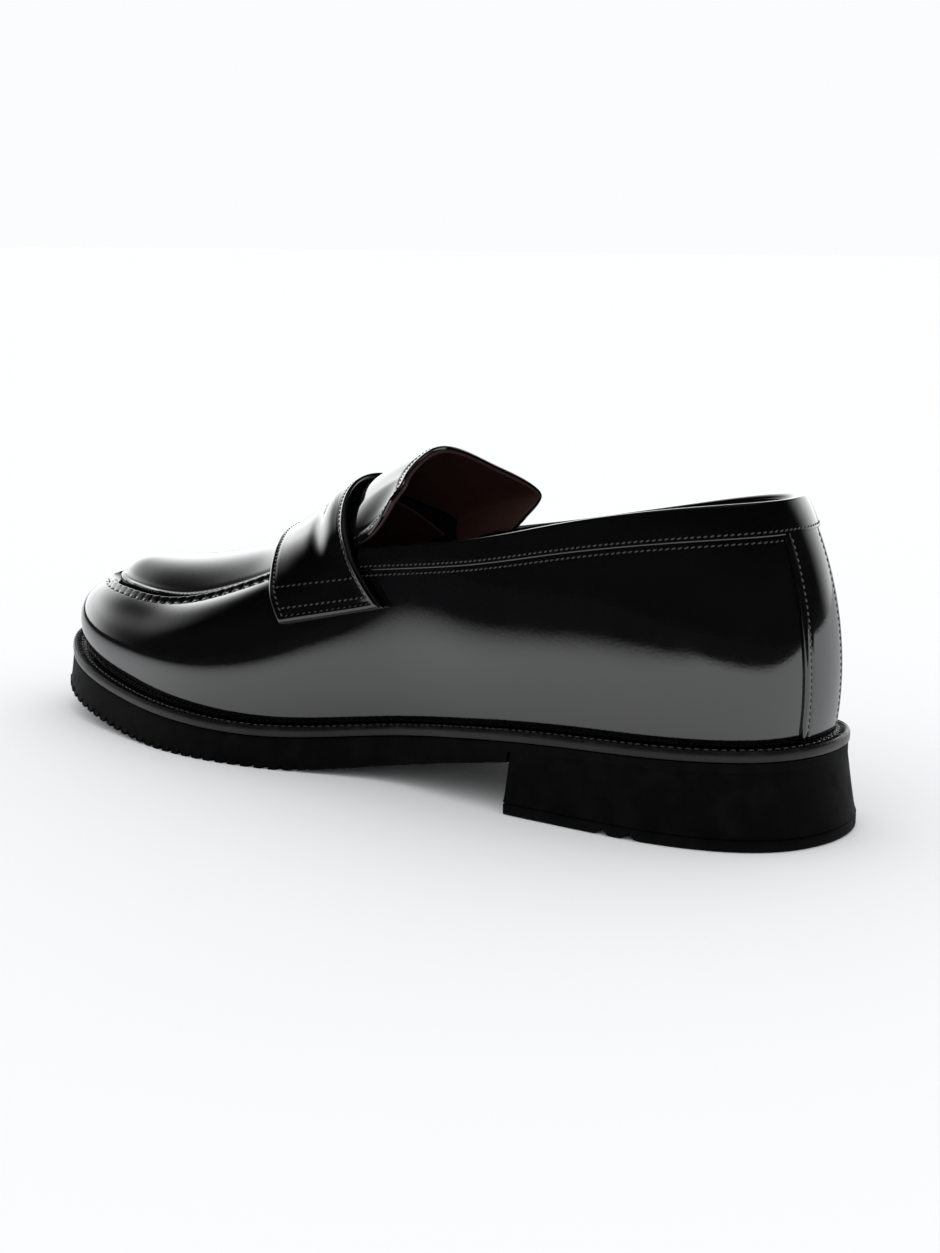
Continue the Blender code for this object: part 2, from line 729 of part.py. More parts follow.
def cylinder_into(points, faces, centre, radius, low, high, sides=10):
    angle = np.arange(sides) * 2 * math.pi / sides
    x, y = centre[0] + radius * np.cos(angle), centre[1] + radius * np.sin(angle)
    start = len(points)
    for z in (low, high):
        points += [(x[i], y[i], z) for i in range(sides)]
    faces += [(start + i, start + (i + 1) % sides, start + sides + (i + 1) % sides,
               start + sides + i) for i in range(sides)]
    faces.append(tuple(start + i for i in range(sides))[::-1])
    faces.append(tuple(start + sides + i for i in range(sides)))


def nail_places():
    """Five nails in a horseshoe round the middle of the heel."""
    centre = np.array([TABLE[0, 0], NAIL_MIDDLE * ALONG])
    spread_x, spread_y = NAIL_SPREAD[0] * ACROSS, NAIL_SPREAD[1] * ALONG
    angles = np.radians((-30, 30, 90, 150, 210))
    return [centre + (spread_x * math.cos(t), spread_y * math.sin(t)) for t in angles]


def make_nails(pieces):
    """Nails with flat heads, driven from the insole into the heel, and their holes."""
    hole_points, hole_faces = [], []
    for number, place in enumerate(nail_places(), 1):
        head = float(insole_top(place[1])[0])
        tip = float(heel_top(place[1])[0]) - NAIL_GRIP
        neck = head - NAIL_HEAD_THICKNESS
        sides = 10
        rings = ((NAIL_DIAMETER / 4, tip), (NAIL_DIAMETER / 2, tip + 2.0),
                 (NAIL_DIAMETER / 2, neck), (NAIL_HEAD_DIAMETER / 2, neck),
                 (NAIL_HEAD_DIAMETER / 2, head))
        angle = np.arange(sides) * 2 * math.pi / sides
        points = [(place[0] + r * math.cos(t), place[1] + r * math.sin(t), z)
                  for r, z in rings for t in angle]
        faces = [(k * sides + i, k * sides + (i + 1) % sides,
                  (k + 1) * sides + (i + 1) % sides, (k + 1) * sides + i)
                 for k in range(len(rings) - 1) for i in range(sides)]
        faces.append(tuple(range(sides))[::-1])
        faces.append(tuple((len(rings) - 1) * sides + i for i in range(sides)))
        name = f"heel_nail_{number}"
        finish(name, mesh_of(name, points, faces), spring_steel, smooth=False)
        cylinder_into(hole_points, hole_faces, place, NAIL_DIAMETER / 2 + NAIL_CLEARANCE,
                      tip - NAIL_CLEARANCE, neck - NAIL_CLEARANCE)
        cylinder_into(hole_points, hole_faces, place,
                      NAIL_HEAD_DIAMETER / 2 + NAIL_CLEARANCE, neck - NAIL_CLEARANCE,
                      head + 5.0)
    cutter = cutter_from("nail_holes", mesh_of("nail_holes", hole_points, hole_faces))
    for piece in pieces:
        cut(piece, cutter)


# ---------- upper ----------

def make_wall():
    shell("vamp_wall", wall_at(0.0), wall_at(-LEATHER), black_leather, ring=True)


def layer_depths():
    """Distances of the hidden layers from the wall's outer face: stiffener, then lining."""
    stiff = -LEATHER - GAP
    lining = stiff - STIFFENER - GAP
    return stiff, stiff - STIFFENER, lining, lining - LINING


def heel_steps(front):
    """Steps round the back of the heel, from the outer side to the inner side."""
    half = AROUND // 2
    return [i for i in range(-half + 1, half) if WALL[i, -1, 1] > front * ALONG]


def toe_steps(back):
    half = AROUND // 2
    return [i for i in range(1, AROUND) if WALL[i, -1, 1] < back * ALONG
            and abs(i - half) < half - 2]


def make_hidden_layers():
    stiff_out, stiff_in, lining_out, lining_in = layer_depths()
    body = slice(0, SEAM_ROW)
    for name, steps, rows, kind in (
            ("heel_counter", heel_steps(COUNTER_FRONT), body, board),
            ("toe_puff", toe_steps(PUFF_BACK), slice(0, None), board),
            ("collar_padding", heel_steps(THROAT), slice(SEAM_ROW, None), foam)):
        shell(name, wall_at(stiff_out, rows, steps), wall_at(stiff_in, rows, steps), kind)
    half = AROUND // 2
    back = heel_steps(HEEL_LINING_FRONT)
    throat = heel_steps(THROAT)
    inner = list(range(back[-1], throat[-1] + 1))
    outer = list(range(throat[0], back[0] + 1))
    front = list(range(throat[-1], AROUND + throat[0] + 1))
    for name, steps, rows in (("heel_lining", back, slice(None)),
                              ("quarter_lining_inner", inner, slice(None)),
                              ("quarter_lining_outer", outer, slice(None)),
                              ("vamp_lining", front, slice(0, -1))):
        sides = [wall_at(distance, rows, steps) for distance in (lining_out, lining_in)]
        shell(name, *map(trim_ends, sides), brown_leather)


def trim_ends(grid):
    """Draws both ends of a sheet back a little, clear of the one next to it."""
    for end, nxt in ((0, 1), (-1, -2)):
        run = grid[nxt] - grid[end]
        grid[end] += run / np.linalg.norm(run, axis=1)[:, None] * GAP / 2
    return grid


def make_overlays():
    """Back strip up the heel, and the collar band round the opening above its seam."""
    strip = range(-BACK_STRIP_STEPS, BACK_STRIP_STEPS + 1)
    below = slice(0, SEAM_ROW)
    shell("back_strip", wall_at(GAP + OVERLAY, below, strip), wall_at(GAP, below, strip),
          black_leather)
    collar, above = heel_steps(THROAT), slice(SEAM_ROW, None)
    shell("collar_band", wall_at(GAP + OVERLAY, above, collar), wall_at(GAP, above, collar),
          black_leather)


def make_apron():
    shell("apron", apron_grid(0.0), apron_grid(-LEATHER), black_leather)
    under = -LEATHER - GAP
    grids = [apron_grid(d)[1:-1, 1:-1] for d in (under, under - LINING)]
    shell("apron_lining", *grids, brown_leather)


def make_tongue():
    """The tongue and its lining, which turn together on the hinge under the strap."""
    root = tongue_grid(0.0)[0]
    middle = root[len(root) // 2]
    hinge = np.array([0.0, middle[1], middle[2] - TONGUE_HINGE_DROP])
    tongue_hinge.location = hinge * MM
    tongue_hinge.parent = frame
    under = -TONGUE_LEATHER - GAP
    for name, top, kind in (("tongue", 0.0, black_leather), ("tongue_lining", under,
                                                             brown_leather)):
        thick = TONGUE_LEATHER if top == 0.0 else TONGUE_LINING
        shell(name, tongue_grid(top), tongue_grid(top - thick), kind,
              parent=tongue_hinge, origin=hinge)


def make_strap():
    """The strap across the instep, its backing, and the slot at its middle."""
    start, way, reach = strap_fan(instep_tree())

    def laid(distance):
        return start + way * (reach[..., None] + distance)

    backing = STRAP_LIFT + STRAP_BACKING
    shell("strap_backing", laid(backing), laid(STRAP_LIFT), brown_leather)
    strap = shell("strap", laid(backing + GAP + STRAP_LEATHER), laid(backing + GAP),
                  black_leather)
    outer = laid(backing + GAP)
    rows, columns = outer.shape[:2]
    middle = outer[rows // 2, columns // 2]
    rise = outer[-1, columns // 2] - outer[0, columns // 2]
    bpy.ops.mesh.primitive_cube_add(size=1.0)
    slot = bpy.context.object
    mesh = slot.data
    bpy.data.objects.remove(slot)
    slot = cutter_from("strap_slot", mesh)
    slot.scale = Vector((SLOT_LENGTH, SLOT_WIDTH, 8.0)) * MM
    slot.location = middle * MM
    slot.rotation_euler = (math.atan2(rise[2], rise[1]), 0.0, 0.0)
    cut(strap, slot)


def centre_frame():
    """Puts the middle of the whole shoe's box over the origin."""
    bpy.context.view_layer.update()
    corners = np.array([made.matrix_world @ Vector(corner) for made in collection.objects
                        if made.type == "MESH" for corner in made.bound_box])
    middle = (corners.min(0) + corners.max(0)) / 2
    frame.location = (-middle[0], -middle[1], 0.0)


def build():
    outsole = make_outsole()
    heel = make_heel()
    make_welt()
    filler, insole = make_foot_bed()
    make_shank(filler)
    make_nails((outsole, heel, filler, insole))
    make_wall()
    make_hidden_layers()
    make_overlays()
    make_apron()
    make_tongue()
    make_strap()
    centre_frame()


build()
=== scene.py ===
import math

import bpy
import numpy as np
from mathutils import Matrix, Vector


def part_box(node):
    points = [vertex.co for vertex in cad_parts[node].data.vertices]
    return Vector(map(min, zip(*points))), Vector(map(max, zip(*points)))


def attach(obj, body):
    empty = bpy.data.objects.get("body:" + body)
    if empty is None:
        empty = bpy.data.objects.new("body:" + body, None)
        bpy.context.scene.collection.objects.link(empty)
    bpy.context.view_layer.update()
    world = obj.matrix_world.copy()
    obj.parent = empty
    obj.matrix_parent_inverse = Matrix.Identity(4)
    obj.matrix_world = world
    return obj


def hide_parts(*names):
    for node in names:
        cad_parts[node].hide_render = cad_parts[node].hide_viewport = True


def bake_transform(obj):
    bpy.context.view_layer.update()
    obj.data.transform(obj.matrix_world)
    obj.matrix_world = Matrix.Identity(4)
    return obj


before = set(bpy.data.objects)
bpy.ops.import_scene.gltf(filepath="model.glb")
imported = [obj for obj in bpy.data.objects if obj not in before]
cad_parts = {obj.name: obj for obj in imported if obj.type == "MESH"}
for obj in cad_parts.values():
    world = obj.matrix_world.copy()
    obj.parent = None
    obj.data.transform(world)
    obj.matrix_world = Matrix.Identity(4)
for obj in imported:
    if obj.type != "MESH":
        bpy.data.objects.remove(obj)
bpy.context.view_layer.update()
print("frame loaded, with", len(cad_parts), "nodes")

mm = 0.001

# The last, in millimetres. Each row is one place round the sole's edge, from the back of
# the heel along the inner side to the toe and back along the outer side: the edge's x and
# y, the top line's x and y, the top line's height above the welt, and how far the
# shoulder stands out.
lastTable = np.array([
    (-1, 158, -1, 139.8, 69, 0.48), (21, 151, 16, 134.8, 69, 0.48),
    (34, 129, 26, 116, 67.5, 0.45), (38, 92, 31, 84, 63, 0.42),
    (37.5, 50, 32, 50, 58.5, 0.42), (35, 16, 30.5, 14, 57.5, 0.55),
    (46.5, -22, 29.5, -16, 54.5, 0.70), (52, -58, 29, -48, 42, 0.80),
    (46, -96, 29, -82, 30.5, 0.85), (35, -128.5, 23, -112, 25, 0.85),
    (10, -152.5, 7.5, -135, 20, 0.85), (-18, -148, -14, -132, 20.5, 0.85),
    (-39, -118, -28, -107, 25.5, 0.85), (-50, -76, -33, -78, 31.5, 0.85),
    (-47.5, -38, -32, -46, 42.5, 0.80), (-39, 2, -31, -10, 54, 0.70),
    (-35, 42, -32, 38, 57.5, 0.45), (-36, 88, -31, 82, 62, 0.42),
    (-34.5, 127, -26.5, 115, 67, 0.45), (-22, 151, -17, 134.8, 69, 0.48)])
# Heights along the shoe: y, then z.
weltLine = np.array([(-156, 28.4), (-150, 26.6), (-120, 20.2), (-90, 16.2), (-60, 14.4),
                     (-20, 14.2), (20, 19), (60, 24.6), (100, 27.3), (156, 29.5)])
underLine = np.array([(-156, 12), (-150, 10.4), (-120, 5), (-90, 1.2), (-70, 0),
                      (-20, 0), (20, 6), (60, 14.2), (80, 17)])
crestLine = np.array([(-140, 50.5), (-130, 54.5), (-118, 56.3), (-100, 58.2),
                      (-80, 61.8), (-60, 66.5), (-44, 71.8), (-30, 81.5),
                      (-17, 89.5), (14, 105)])
last = {"featherInset": 5.0, "bellyInset": 2.8, "gap": 0.3}


def splineSlopes(knots, values, closed):
    # Slopes at the knots of the cubic pieces whose slope and bend both run on: one row of
    # a linear system for each knot.
    count = len(values)
    step = np.diff(knots)
    rise = np.roll(values, -1, 0) - values if closed else np.diff(values, axis=0)
    matrix, right = np.zeros((count, count)), np.zeros_like(values)
    for i in range(count):
        if not closed and i in (0, count - 1):
            near = 0 if i == 0 else count - 2
            matrix[i, i] = 2
            matrix[i, 1 if i == 0 else count - 2] = 1
            right[i] = 3 * rise[near] / step[near]
            continue
        before, ahead = step[i - 1], step[i]
        matrix[i, i - 1] += 1 / before
        matrix[i, i] += 2 / before + 2 / ahead
        matrix[i, (i + 1) % count] += 1 / ahead
        right[i] = 3 * (rise[i - 1] / before**2 + rise[i] / ahead**2)
    return np.linalg.solve(matrix, right)


def splineAt(knots, values, where, closed=False):
    # A cubic through the values: each piece blends its two ends and their slopes by the
    # share t of the way between them.
    values = np.asarray(values, float)
    flat = values.ndim == 1
    values = values[:, None] if flat else values
    slopes = splineSlopes(knots, values, closed)
    shape = np.shape(where)
    where = np.ravel(where)
    piece = np.clip(np.searchsorted(knots, where, "right") - 1, 0, len(knots) - 2)
    after = (piece + 1) % len(values)
    step = (knots[piece + 1] - knots[piece])[:, None]
    t = (where - knots[piece])[:, None] / step
    result = (values[piece] * (1 + 2 * t) * (1 - t)**2
              + values[after] * t * t * (3 - 2 * t)
              + step * (slopes[piece] * t * (1 - t)**2 - slopes[after] * t * t * (1 - t)))
    return result.reshape(shape if flat else shape + (values.shape[1],))


ringKnots = np.append(0.0, np.cumsum(np.hypot(*(
    np.roll(lastTable[:, :2], -1, 0) - lastTable[:, :2]).T)))


def lastRows(u):
    # The table read at the share u of the way round the edge.
    return splineAt(ringKnots, lastTable, np.mod(u, 1.0) * ringKnots[-1], closed=True)


def lastAt(u):
    # The table at u, and the direction that points out of the shoe there: the edge's own
    # direction, turned a quarter.
    ahead = lastRows(u + 0.0005)[..., :2] - lastRows(u - 0.0005)[..., :2]
    outward = np.stack([-ahead[..., 1], ahead[..., 0]], -1)
    return lastRows(u), outward / np.linalg.norm(outward, axis=-1, keepdims=True)


def weltTop(y):
    return splineAt(weltLine[:, 0], weltLine[:, 1], y)


def underside(y):
    return np.maximum(splineAt(underLine[:, 0], underLine[:, 1], np.minimum(y, 80)), 0)


def crest(y):
    return splineAt(crestLine[:, 0], crestLine[:, 1], y)


def edgeLoop(u, inset):
    rows, outward = lastAt(u)
    return rows[..., :2] - inset * outward


def smooth(low, high, value):
    # 0 up to low, 1 from high, and 3t2 - 2t3 between them.
    t = np.clip((value - low) / (high - low), 0, 1)
    return t * t * (3 - 2 * t)


def bump(value, centre, width):
    # A round bump of height 1: e to the minus square of the distance in widths.
    return np.exp(-((value - centre) / width)**2)


def unit(vectors):
    return vectors / np.linalg.norm(vectors, axis=-1, keepdims=True)


# The frame's own welt says where the last stands.
loopPlan = edgeLoop(np.linspace(0, 1, 2000, endpoint=False), 0.0)
weltLow, weltHigh = (np.array(corner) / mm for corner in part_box("welt"))
shift = (weltLow + weltHigh)[:2] / 2 - (loopPlan.min(0) + loopPlan.max(0)) / 2
shift = np.append(shift, 0.0)


def wallPoint(u, v):
    # The upper's side: at each u a cubic Bezier curve in v, from the feather line, out to
    # the belly, in over the shoulder, and up to the top line.
    rows, outward = lastAt(u)
    edge, top = rows[..., :2], rows[..., 2:4]
    base = weltTop(edge[..., 1]) + last["gap"]
    height = rows[..., 4] - last["gap"]
    bellyEdge = edge - (2 * last["bellyInset"] - last["featherInset"]) * outward
    shoulderEdge = top + rows[..., 5:6] * (bellyEdge - top)
    drop = 0.30 - 0.20 * rows[..., 5]
    corners = ((edge - last["featherInset"] * outward, base),
               (bellyEdge, base + 0.42 * height),
               (shoulderEdge, base + (1 - drop) * height),
               (top, base + height))
    shares = ((1 - v)**3, 3 * v * (1 - v)**2, 3 * v * v * (1 - v), v**3)
    return sum(share[..., None] * np.concatenate([plan, z[..., None]], -1)
               for share, (plan, z) in zip(shares, corners))


def wallFrame(u, v):
    # A point of the side, the way out of it (up crossed with along), and the way up it.
    u, v = np.broadcast_arrays(u, v)
    along = wallPoint(u + 0.0006, v) - wallPoint(u - 0.0006, v)
    up = wallPoint(u, v + 0.004) - wallPoint(u, v - 0.004)
    return wallPoint(u, v), unit(np.cross(up, along)), unit(up)


def onWall(u, v, out, rise=0.0):
    # A point moved out of the side by out, and on up it by rise.
    point, normal, up = wallFrame(u, v)
    u, out, rise = np.broadcast_arrays(u, out, rise)
    return point + out[..., None] * normal + rise[..., None] * up


def topSpeed(u):
    # Millimetres up the side for each whole of v, near the top line.
    one = np.ones_like(u)
    return np.linalg.norm(wallPoint(u, one) - wallPoint(u, one * 0.9), axis=-1) / 0.1


def placeAtTopY(y, side):
    # The u at which the top line passes y, on the inner (+1) or outer (-1) side.
    u = np.linspace(0, 0.5, 3000) * side
    return float(np.interp(-y, -lastRows(u)[:, 3], u))


def addPiece(name, points, faces, material, body="root", sharp=38):
    mesh = bpy.data.meshes.new(name)
    points = np.asarray(points, float).reshape(-1, 3)
    mesh.from_pydata(((points + shift) * mm).tolist(), [], [list(f) for f in faces])
    mesh.validate()
    mesh.materials.append(material)
    mesh.shade_smooth()
    mesh.set_sharp_from_angle(angle=math.radians(sharp))
    piece = bpy.data.objects.new(name, mesh)
    bpy.context.scene.collection.objects.link(piece)
    if body:
        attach(piece, body)
    return piece


def loftFaces(count, around, closed):
    # Four-sided faces between profiles i and i + 1. Where the row of profiles has ends,
    # each end is closed by a ladder of faces between the profile's two halves.
    steps = count if closed else count - 1
    i, j = np.meshgrid(np.arange(steps), np.arange(around), indexing="ij")
    here, there = i * around, (i + 1) % count * around
    nextJ = (j + 1) % around
    faces = np.stack([here + j, here + nextJ, there + nextJ, there + j], -1).reshape(-1, 4)
    if closed:
        return faces
    j = np.arange(around // 2 - 1)
    ladder = np.stack([j, j + 1, around - 2 - j, around - 1 - j], -1)
    return np.concatenate([faces, ladder[:, ::-1], ladder + (count - 1) * around])


def loft(name, rings, material, closed=False, **more):
    # One skin over the closed profiles rings[i], each a loop of points.
    count, around = rings.shape[:2]
    return addPiece(name, rings, loftFaces(count, around, closed), material, **more)


def sheetProfile(outer, inner):
    # The outer rows from the first to the last, and back along the inner ones.
    return np.concatenate([outer, inner[:, ::-1]], axis=1)


def roundedEdge(distance, radius):
    # 0 at an edge and 1 from the radius on, as a quarter circle.
    t = np.clip(distance / radius, 0, 1)
    return np.sqrt(np.clip(1 - (1 - t)**2, 0, 1))


def edgeSpread(count, power=1.6):
    # Shares from 0 to 1, closer together at both ends.
    t = np.linspace(-1, 1, count)
    return 0.5 + 0.5 * np.sign(t) * (1 - (1 - np.abs(t))**power)


def gridNormals(grid):
    # The way out of a grid of points: its second direction crossed with its first.
    return unit(np.cross(np.gradient(grid, axis=1), np.gradient(grid, axis=0)))


def stitches(path, normals, pitch, length, radius, slant=0.0, sink=0.35):
    # Short threads along a path: each is a bent tube whose middle stands over the surface
    # and whose ends sink into it, a height of 1 - t2 at the share t from its middle.
    steps = np.linalg.norm(np.diff(path, axis=0), axis=1)
    places = np.append(0.0, np.cumsum(steps))
    count = max(2, int(places[-1] / pitch))
    centres = (np.arange(count) + 0.5) * places[-1] / count

    def along(values, where):
        return np.stack([np.interp(where, places, column) for column in values.T], -1)

    middle, normal = along(path, centres), unit(along(normals, centres))
    tangent = unit(along(path, centres + pitch / 4) - along(path, centres - pitch / 4))
    side = unit(np.cross(normal, tangent))
    tangent = unit(tangent + slant * side)
    side = np.cross(normal, tangent)
    t = np.linspace(-1, 1, 6)[None, :, None, None]
    turn = (np.arange(5) * 2 * math.pi / 5)[None, None, :, None]
    thick = radius * np.sqrt(np.clip(1 - 0.92 * t**4, 0, 1))
    height = radius * 0.55 - (radius * 0.55 + sink) * t**4
    middle, tangent, normal, side = (
        x[:, None, None, :] for x in (middle, tangent, normal, side))
    rings = (middle + tangent * t * length / 2 + normal * (height + thick * np.sin(turn))
             + side * thick * np.cos(turn))
    return rings.reshape(-1, 5, 3)


def stitchFaces(count):
    # Tubes of six rings of five points, each closed by a flat face at both ends.
    i, j = np.meshgrid(np.arange(5), np.arange(5), indexing="ij")
    one = np.stack([i * 5 + j, (i + 1) * 5 + j, (i + 1) * 5 + (j + 1) % 5,
                    i * 5 + (j + 1) % 5], -1).reshape(-1, 4)
    quads = (one[None] + (np.arange(count) * 30)[:, None, None]).reshape(-1, 4)
    ends = np.concatenate([np.arange(count)[:, None] * 30 + np.arange(5),
                           np.arange(count)[:, None] * 30 + 29 - np.arange(5)])
    return quads.tolist() + ends.tolist()


def addStitching(name, rows, material, body="root"):
    rings = np.concatenate(rows)
    return addPiece(name, rings, stitchFaces(len(rings) // 6), material, body, sharp=60)


def addNode(tree, kind, values=None, **settings):
    node = tree.nodes.new(kind)
    for key, value in settings.items():
        setattr(node, key, value)
    for key, value in (values or {}).items():
        node.inputs[key].default_value = value
    return node


def newGroup(name, inputs, outputs):
    tree = bpy.data.node_groups.new(name, "ShaderNodeTree")
    for label, kind, value in inputs:
        socket = tree.interface.new_socket(label, in_out="INPUT", socket_type=kind)
        if value is not None:
            socket.default_value = value
    for label, kind in outputs:
        tree.interface.new_socket(label, in_out="OUTPUT", socket_type=kind)
    return tree, addNode(tree, "NodeGroupInput"), addNode(tree, "NodeGroupOutput")


def makeGrainGroup():
    # Leather's surface: fine pores, and slow waves where it was pulled over the last.
    tree, source, sink = newGroup(
        "leatherGrain",
        (("Place", "NodeSocketVector", None), ("Pore Scale", "NodeSocketFloat", 900.0),
         ("Pore Depth", "NodeSocketFloat", 0.3), ("Wave Scale", "NodeSocketFloat", 40.0),
         ("Wave Depth", "NodeSocketFloat", 0.5)),
        (("Height", "NodeSocketFloat"), ("Mottle", "NodeSocketFloat")))
    link = tree.links.new
    pores = addNode(tree, "ShaderNodeTexVoronoi", feature="SMOOTH_F1")
    warp = addNode(tree, "ShaderNodeTexNoise", {"Scale": 420.0, "Detail": 3.0})
    waves = addNode(tree, "ShaderNodeTexNoise", {"Detail": 1.5, "Roughness": 0.4})
    mottle = addNode(tree, "ShaderNodeTexNoise", {"Scale": 95.0, "Detail": 5.0})
    for node in (pores, warp, waves, mottle):
        link(source.outputs["Place"], node.inputs["Vector"])
    link(source.outputs["Pore Scale"], pores.inputs["Scale"])
    link(source.outputs["Wave Scale"], waves.inputs["Scale"])
    fine = addNode(tree, "ShaderNodeMath", operation="MULTIPLY_ADD")
    link(pores.outputs["Distance"], fine.inputs[0])
    link(source.outputs["Pore Depth"], fine.inputs[1])
    rough = addNode(tree, "ShaderNodeMath", operation="MULTIPLY")
    link(warp.outputs["Fac"], rough.inputs[0])
    link(source.outputs["Pore Depth"], rough.inputs[1])
    link(rough.outputs[0], fine.inputs[2])
    broad = addNode(tree, "ShaderNodeMath", operation="MULTIPLY_ADD")
    link(waves.outputs["Fac"], broad.inputs[0])
    link(source.outputs["Wave Depth"], broad.inputs[1])
    link(fine.outputs[0], broad.inputs[2])
    link(broad.outputs[0], sink.inputs["Height"])
    link(mottle.outputs["Fac"], sink.inputs["Mottle"])
    return tree


def makeRubberGroup():
    # Moulded rubber: a fine sandy skin, and faint dust in random patches.
    tree, source, sink = newGroup(
        "mouldedSkin",
        (("Place", "NodeSocketVector", None), ("Sand Scale", "NodeSocketFloat", 1500.0),
         ("Sand Depth", "NodeSocketFloat", 0.5)),
        (("Height", "NodeSocketFloat"), ("Dust", "NodeSocketFloat")))
    link = tree.links.new
    sand = addNode(tree, "ShaderNodeTexNoise", {"Detail": 4.0, "Roughness": 0.65})
    dust = addNode(tree, "ShaderNodeTexNoise", {"Scale": 140.0, "Detail": 6.0})
    for node in (sand, dust):
        link(source.outputs["Place"], node.inputs["Vector"])
    link(source.outputs["Sand Scale"], sand.inputs["Scale"])
    deep = addNode(tree, "ShaderNodeMath", operation="MULTIPLY")
    link(sand.outputs["Fac"], deep.inputs[0])
    link(source.outputs["Sand Depth"], deep.inputs[1])
    link(deep.outputs[0], sink.inputs["Height"])
    spread = addNode(tree, "ShaderNodeMapRange",
                     {"From Min": 0.45, "From Max": 0.75, "To Min": 0.0, "To Max": 1.0})
    link(dust.outputs["Fac"], spread.inputs["Value"])
    link(spread.outputs["Result"], sink.inputs["Dust"])
    return tree


grainGroup, skinGroup = makeGrainGroup(), makeRubberGroup()


def makeMaterial(name, look):
    # One finish: a group's height feeds the bump, and its mask moves colour and roughness
    # between the two values in the look.
    made = bpy.data.materials.new(name)
    made.use_nodes = True
    tree = made.node_tree
    link = tree.links.new
    shader = tree.nodes["Principled BSDF"]
    coordinates = addNode(tree, "ShaderNodeTexCoord")
    group = addNode(tree, "ShaderNodeGroup", node_tree=look["group"])
    link(coordinates.outputs["Object"], group.inputs["Place"])
    for key, value in look["groupValues"].items():
        group.inputs[key].default_value = value
    mask = group.outputs["Mottle" if look["group"] == grainGroup else "Dust"]
    colour = addNode(tree, "ShaderNodeMix", data_type="RGBA")
    link(mask, colour.inputs[0])
    colour.inputs[6].default_value = (*look["colours"][0], 1)
    colour.inputs[7].default_value = (*look["colours"][1], 1)
    link(colour.outputs[2], shader.inputs["Base Color"])
    rough = addNode(tree, "ShaderNodeMapRange", {"From Min": 0.25, "From Max": 0.75,
                    "To Min": look["roughness"][0], "To Max": look["roughness"][1]})
    link(mask, rough.inputs["Value"])
    link(rough.outputs["Result"], shader.inputs["Roughness"])
    relief = addNode(tree, "ShaderNodeBump", {"Strength": look["relief"],
                                              "Distance": look["reliefSize"]})
    link(group.outputs["Height"], relief.inputs["Height"])
    link(relief.outputs["Normal"], shader.inputs["Normal"])
    for key, value in look.get("shader", {}).items():
        shader.inputs[key].default_value = value
    return made


def leatherLook(colours, roughness, relief=0.2, reliefSize=0.0004, pores=(900.0, 0.25),
                waves=(38.0, 0.8), **shader):
    return {"group": grainGroup, "colours": colours, "roughness": roughness,
            "relief": relief, "reliefSize": reliefSize, "shader": shader,
            "groupValues": {"Pore Scale": pores[0], "Pore Depth": pores[1],
                            "Wave Scale": waves[0], "Wave Depth": waves[1]}}


def skinLook(colours, roughness, relief=0.5, reliefSize=0.0002, sand=(1500.0, 0.6),
             **shader):
    return {"group": skinGroup, "colours": colours, "roughness": roughness,
            "relief": relief, "reliefSize": reliefSize, "shader": shader,
            "groupValues": {"Sand Scale": sand[0], "Sand Depth": sand[1]}}


finishes = {
    "polishedLeather": leatherLook(((0.0018, 0.0018, 0.002), (0.0028, 0.0028, 0.0031)),
                                   (0.05, 0.10), 0.3, 0.0004, (1100.0, 0.04),
                                   (30.0, 1.0), IOR=1.9),
    "foldedEdge": leatherLook(((0.003, 0.003, 0.0032), (0.005, 0.005, 0.0055)), (0.2, 0.32),
                              0.4, 0.0003, (1100.0, 0.3), (60.0, 0.5), IOR=1.6),
    # the linings' own dark brown, darkened further to stand in for the shade inside the shoe:
    # painted shade on the linings and the tongue's underside
    "liningLeather": leatherLook(((0.034, 0.0125, 0.009), (0.052, 0.02, 0.014)),
                                 (0.48, 0.62), 0.5, 0.0003, (800.0, 0.6), (90.0, 0.5)),
    "sockLeather": leatherLook(((0.05, 0.02, 0.014), (0.075, 0.031, 0.021)),
                               (0.5, 0.66), 0.5, 0.0003, (700.0, 0.6), (70.0, 0.7)),
    "waxedThread": leatherLook(((0.03, 0.03, 0.031), (0.06, 0.06, 0.062)),
                               (0.25, 0.4), 0.6, 0.0002, (2600.0, 0.8), (300.0, 0.4)),
    "weltEdge": skinLook(((0.005, 0.005, 0.0055), (0.010, 0.010, 0.011)), (0.3, 0.42),
                         0.35, 0.0002, (1300.0, 0.5), **{"Specular IOR Level": 0.35}),
    "soleRubber": skinLook(((0.0018, 0.0018, 0.002), (0.0036, 0.0036, 0.0039)),
                           (0.6, 0.72), 0.5, 0.0002, **{"Specular IOR Level": 0.05}),
    "fibreBoard": skinLook(((0.36, 0.26, 0.16), (0.45, 0.34, 0.22)), (0.8, 0.9)),
    "groundCork": skinLook(((0.30, 0.17, 0.08), (0.50, 0.33, 0.19)), (0.85, 0.95), 0.8,
                           0.0006, (500.0, 1.0)),
    "springSteel": skinLook(((0.42, 0.43, 0.45), (0.52, 0.53, 0.55)), (0.24, 0.36), 0.15,
                            0.0001, Metallic=1.0),
    "latexFoam": skinLook(((0.72, 0.66, 0.52), (0.80, 0.75, 0.63)), (0.9, 0.97), 0.8,
                          0.0004, (900.0, 1.0)),
}
materials = {name: makeMaterial(name, look) for name, look in finishes.items()}
black, edgeBlack = materials["polishedLeather"], materials["foldedEdge"]
brown, thread = materials["liningLeather"], materials["waxedThread"]
rubber, weltBlack = materials["soleRubber"], materials["weltEdge"]
print("materials made")


sideWall = {"stations": 1200, "leather": 1.4, "underRoll": 2.4, "seamPitch": 4.6,
            "ridgeHeight": 1.5, "ridgePlace": 2.3, "ridgeWidth": 1.35, "grooveDepth": 1.4,
            "pitPlace": 4.7, "pitDepth": 0.28, "seamEnd": (-32.0, -20.0),
            "collarStart": (-6.0, 1.0)}


